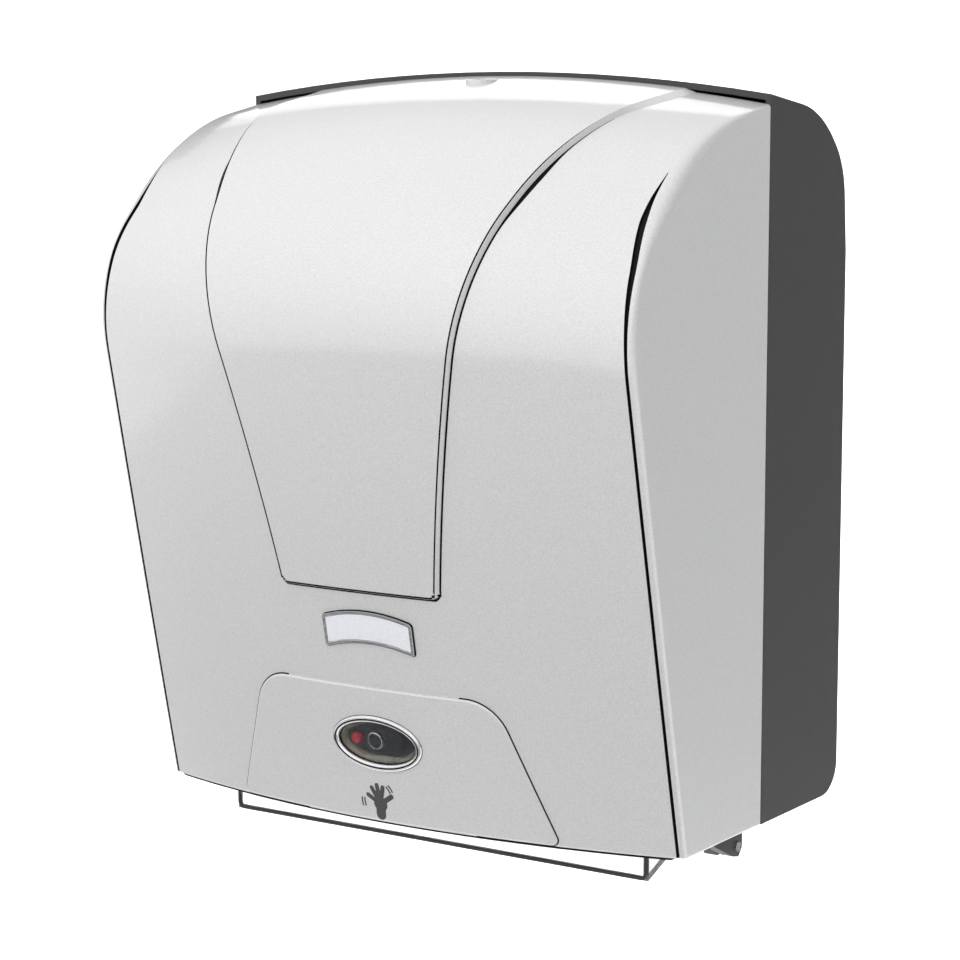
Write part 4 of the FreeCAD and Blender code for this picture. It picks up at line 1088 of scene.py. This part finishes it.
# Dark strip under the cover's front edge: a painted shadow below the edge. Its section is (back, share of
# the drop)
shadow_strip_drop = 1.3
shadow_strip_inset = 1.3
shadow_strip_depth = 4.5
shadow_strip_end = 147.0
shadow_strip_round = 2.0
shadow_strip_section = ((0.0, 0.0), (0.0, 0.75), (0.3, 0.95), (0.7, 1.0), (shadow_strip_depth, 1.0), (shadow_strip_depth, 0.0))
shadow_strip_least = 0.02
shadow_strip_points = 90

# Dark bead of the chute
chute_half = 123.8
chute_front = -140.0
chute_foot = -195.0
chute_side_top = -181.0
bead = 1.9
bead_corner = 3.0
bead_sides = 12
bead_squareness = 0.6


def make_shadow_strip():
    """The dark strip under the cover's front edge, a painted shadow, with rounded ends."""
    turn = np.linspace(0, math.pi / 2, 6)
    straight_end = shadow_strip_end - shadow_strip_round
    x = np.concatenate([-shadow_strip_end + shadow_strip_round * (1 - np.cos(turn))[:-1],
                        np.linspace(-straight_end, straight_end, shadow_strip_points),
                        straight_end + shadow_strip_round * np.sin(turn)[1:]])
    beyond = np.clip((np.abs(x) - straight_end) / (shadow_strip_round + 0.05), 0, 1)
    grow = np.sqrt(np.clip(1 - beyond ** 2, shadow_strip_least, 1))
    y = front_at(x, case_bottom + 1.0)[:, 1]
    rings = []
    for back, down in shadow_strip_section:
        rings.append(np.stack([x, y + shadow_strip_inset + back, case_bottom - shadow_strip_drop * down * grow], 1))
    surface = ring_surface(np.stack(rings, 1)[::-1])
    lip = add_mesh("painted_shadow_strip", surface, [painted_shade_and_card_black], "cover")


def make_chute_bead():
    """The dark bead round the chute's front edge."""
    half = bead / 2
    x, low, high = chute_half - half, chute_foot + half, chute_side_top
    corners = [(-x, high), (-x, low), (x, low), (x, high)]
    path = rounded_path(corners, (bead_corner, bead_corner), 0.5)
    keep = np.concatenate([[True], np.linalg.norm(np.diff(path, axis=0), axis=1) > 1e-6])
    path = path[keep][::2]
    along = np.gradient(path, axis=0)
    along /= np.linalg.norm(along, axis=1)[:, None]
    out = np.stack([along[:, 1], 0 * along[:, 0], -along[:, 0]], 1)
    centre = np.stack([path[:, 0], np.full(len(path), chute_front), path[:, 1]], 1)
    rings = []
    for k in range(bead_sides):
        a = 2 * math.pi * k / bead_sides
        wide = math.copysign(abs(math.cos(a)) ** bead_squareness, math.cos(a)) * half
        deep = math.copysign(abs(math.sin(a)) ** bead_squareness, math.sin(a)) * half
        rings.append(centre + out * wide + np.array([0, deep, 0]))
    edge = add_mesh("chute_bead", ring_surface(np.stack(rings, 1)), [housing_dark], "root")


make_shadow_strip()
make_chute_bead()


# Stage, light and camera, in metres and degrees
floor_half = 6.0
floor_height = -0.62
floor_bend = 1.2
floor_front = -3.0
floor_back = 4.0
floor_rise = 2.4
lights = (
    ("key", (-0.4, -3.0, 1.5), (0, -0.15, 0), (3.0, 2.4), 28),
    ("backdrop", (-0.8, 1.5, 1.9), (-1.2, 3.2, -0.3), (4.0, 1.5), 150),
)
camera_lens = 100.81
camera_place = (0.7417, -1.2137, 0.1671)
camera_down = 7.83
camera_left = 33.61
brightest = (-0.22, -0.64, 0.74)
brightness_span = (-0.3, 0.75)
brightness = (0.42, 1.03)

# Cards beside the view, which darken reflections: name, corners as degrees left of +Y and up
# from card_middle, distance, material, and the rays that pass through
card_middle = (-0.12, -0.12, 0.14)
shoulder_corners = (
    (34, -12), (34, 1), (39.5, 7.5), (42, 11.5), (46, 18.5), (53, 25.5), (60, 29.5), (66, 31), (66, 18),
    (58, -12),
)
right_corners = ((-18, -35), (-18, 45), (-65, 45), (-65, -35))
lower_corners = (
    (95, -26), (140, -24), (180, -22), (220, -24), (255, -26), (255, -62), (180, -70), (95, -62),
)
all_but_glossy = ("camera", "diffuse", "shadow", "transmission")
cards = (
    ("shoulder_card", shoulder_corners, 2.0, painted_shade_and_card_black, all_but_glossy),
    ("right_card", right_corners, 1.8, frame_grey, all_but_glossy),
    ("lower_card", lower_corners, 1.0, card_grey, ("camera",)),
)


def add_floor():
    """A wide pale floor below the wall-hung case that curves up far behind it."""
    turn = np.linspace(0, math.pi / 2, 17)
    bend_y = floor_back - floor_bend + floor_bend * np.sin(turn)
    bend_z = floor_height + floor_bend - floor_bend * np.cos(turn)
    y = np.concatenate([[floor_front], bend_y, [floor_back]])
    z = np.concatenate([[floor_height], bend_z, [floor_height + floor_bend + floor_rise]])
    vertices = [(x, y[k], z[k]) for k in range(len(y)) for x in (-floor_half, floor_half)]
    faces = [[2 * k, 2 * k + 1, 2 * k + 3, 2 * k + 2] for k in range(len(y) - 1)]
    mesh = bpy.data.meshes.new("floor")
    mesh.from_pydata(vertices, [], faces)
    mesh.polygons.foreach_set("use_smooth", [True] * len(mesh.polygons))
    mesh.materials.append(pale_floor)
    floor = new_object("floor", mesh)


def add_card(name, corners, distance, material, hidden):
    """A card that the hidden rays don't meet."""
    left, up = np.radians(np.array(corners)).T
    direction = np.stack([-np.sin(left) * np.cos(up), np.cos(left) * np.cos(up), np.sin(up)], 1)
    mesh = bpy.data.meshes.new(name)
    mesh.from_pydata((direction * distance + card_middle).tolist(), [], [list(range(len(corners)))])
    mesh.materials.append(material)
    card = new_object(name, mesh)
    for ray in hidden:
        setattr(card, "visible_" + ray, False)


def area_light(name, place, target, size, power):
    """A soft light whose own outline doesn't show in reflections."""
    light = bpy.data.lights.new(name, "AREA")
    light.shape = "RECTANGLE"
    light.size, light.size_y = size
    light.energy = power
    lamp = new_object(name, light)
    lamp.visible_glossy = False
    lamp.location = place
    lamp.rotation_euler = (Vector(target) - Vector(place)).to_track_quat("-Z", "Y").to_euler()


def add_camera():
    """The photograph's view: its place, turn and field of view, fitted on the case's corners."""
    data = bpy.data.cameras.new("camera")
    data.sensor_width = 36.0
    data.lens = camera_lens
    camera = new_object("camera", data)
    camera.location = camera_place
    camera.rotation_euler = (math.radians(90 - camera_down), 0, math.radians(camera_left))
    scene.camera = camera


def add_world():
    """Pale surroundings, brighter in front of the case, to the left and above."""
    world = bpy.data.worlds.new("studio")
    world.use_nodes = True
    tree = world.node_tree
    background = next(n for n in tree.nodes if n.type == "BACKGROUND")
    toward = add_node(tree, "VectorMath")
    toward.operation = "DOT_PRODUCT"
    toward.inputs[1].default_value = brightest
    tree.links.new(add_node(tree, "TexCoord").outputs["Generated"], toward.inputs[0])
    strength = add_node(tree, "MapRange", Value=toward.outputs["Value"],
                        From_Min=brightness_span[0], From_Max=brightness_span[1],
                        To_Min=brightness[0], To_Max=brightness[1])
    strength.interpolation_type = "SMOOTHSTEP"
    set_inputs(background, Color=(1, 1, 1, 1), Strength=strength.outputs["Result"])
    scene.world = world


add_floor()
add_world()
for light in lights:
    area_light(*light)
for card in cards:
    add_card(*card)
add_camera()
scene.view_settings.view_transform = "Standard"
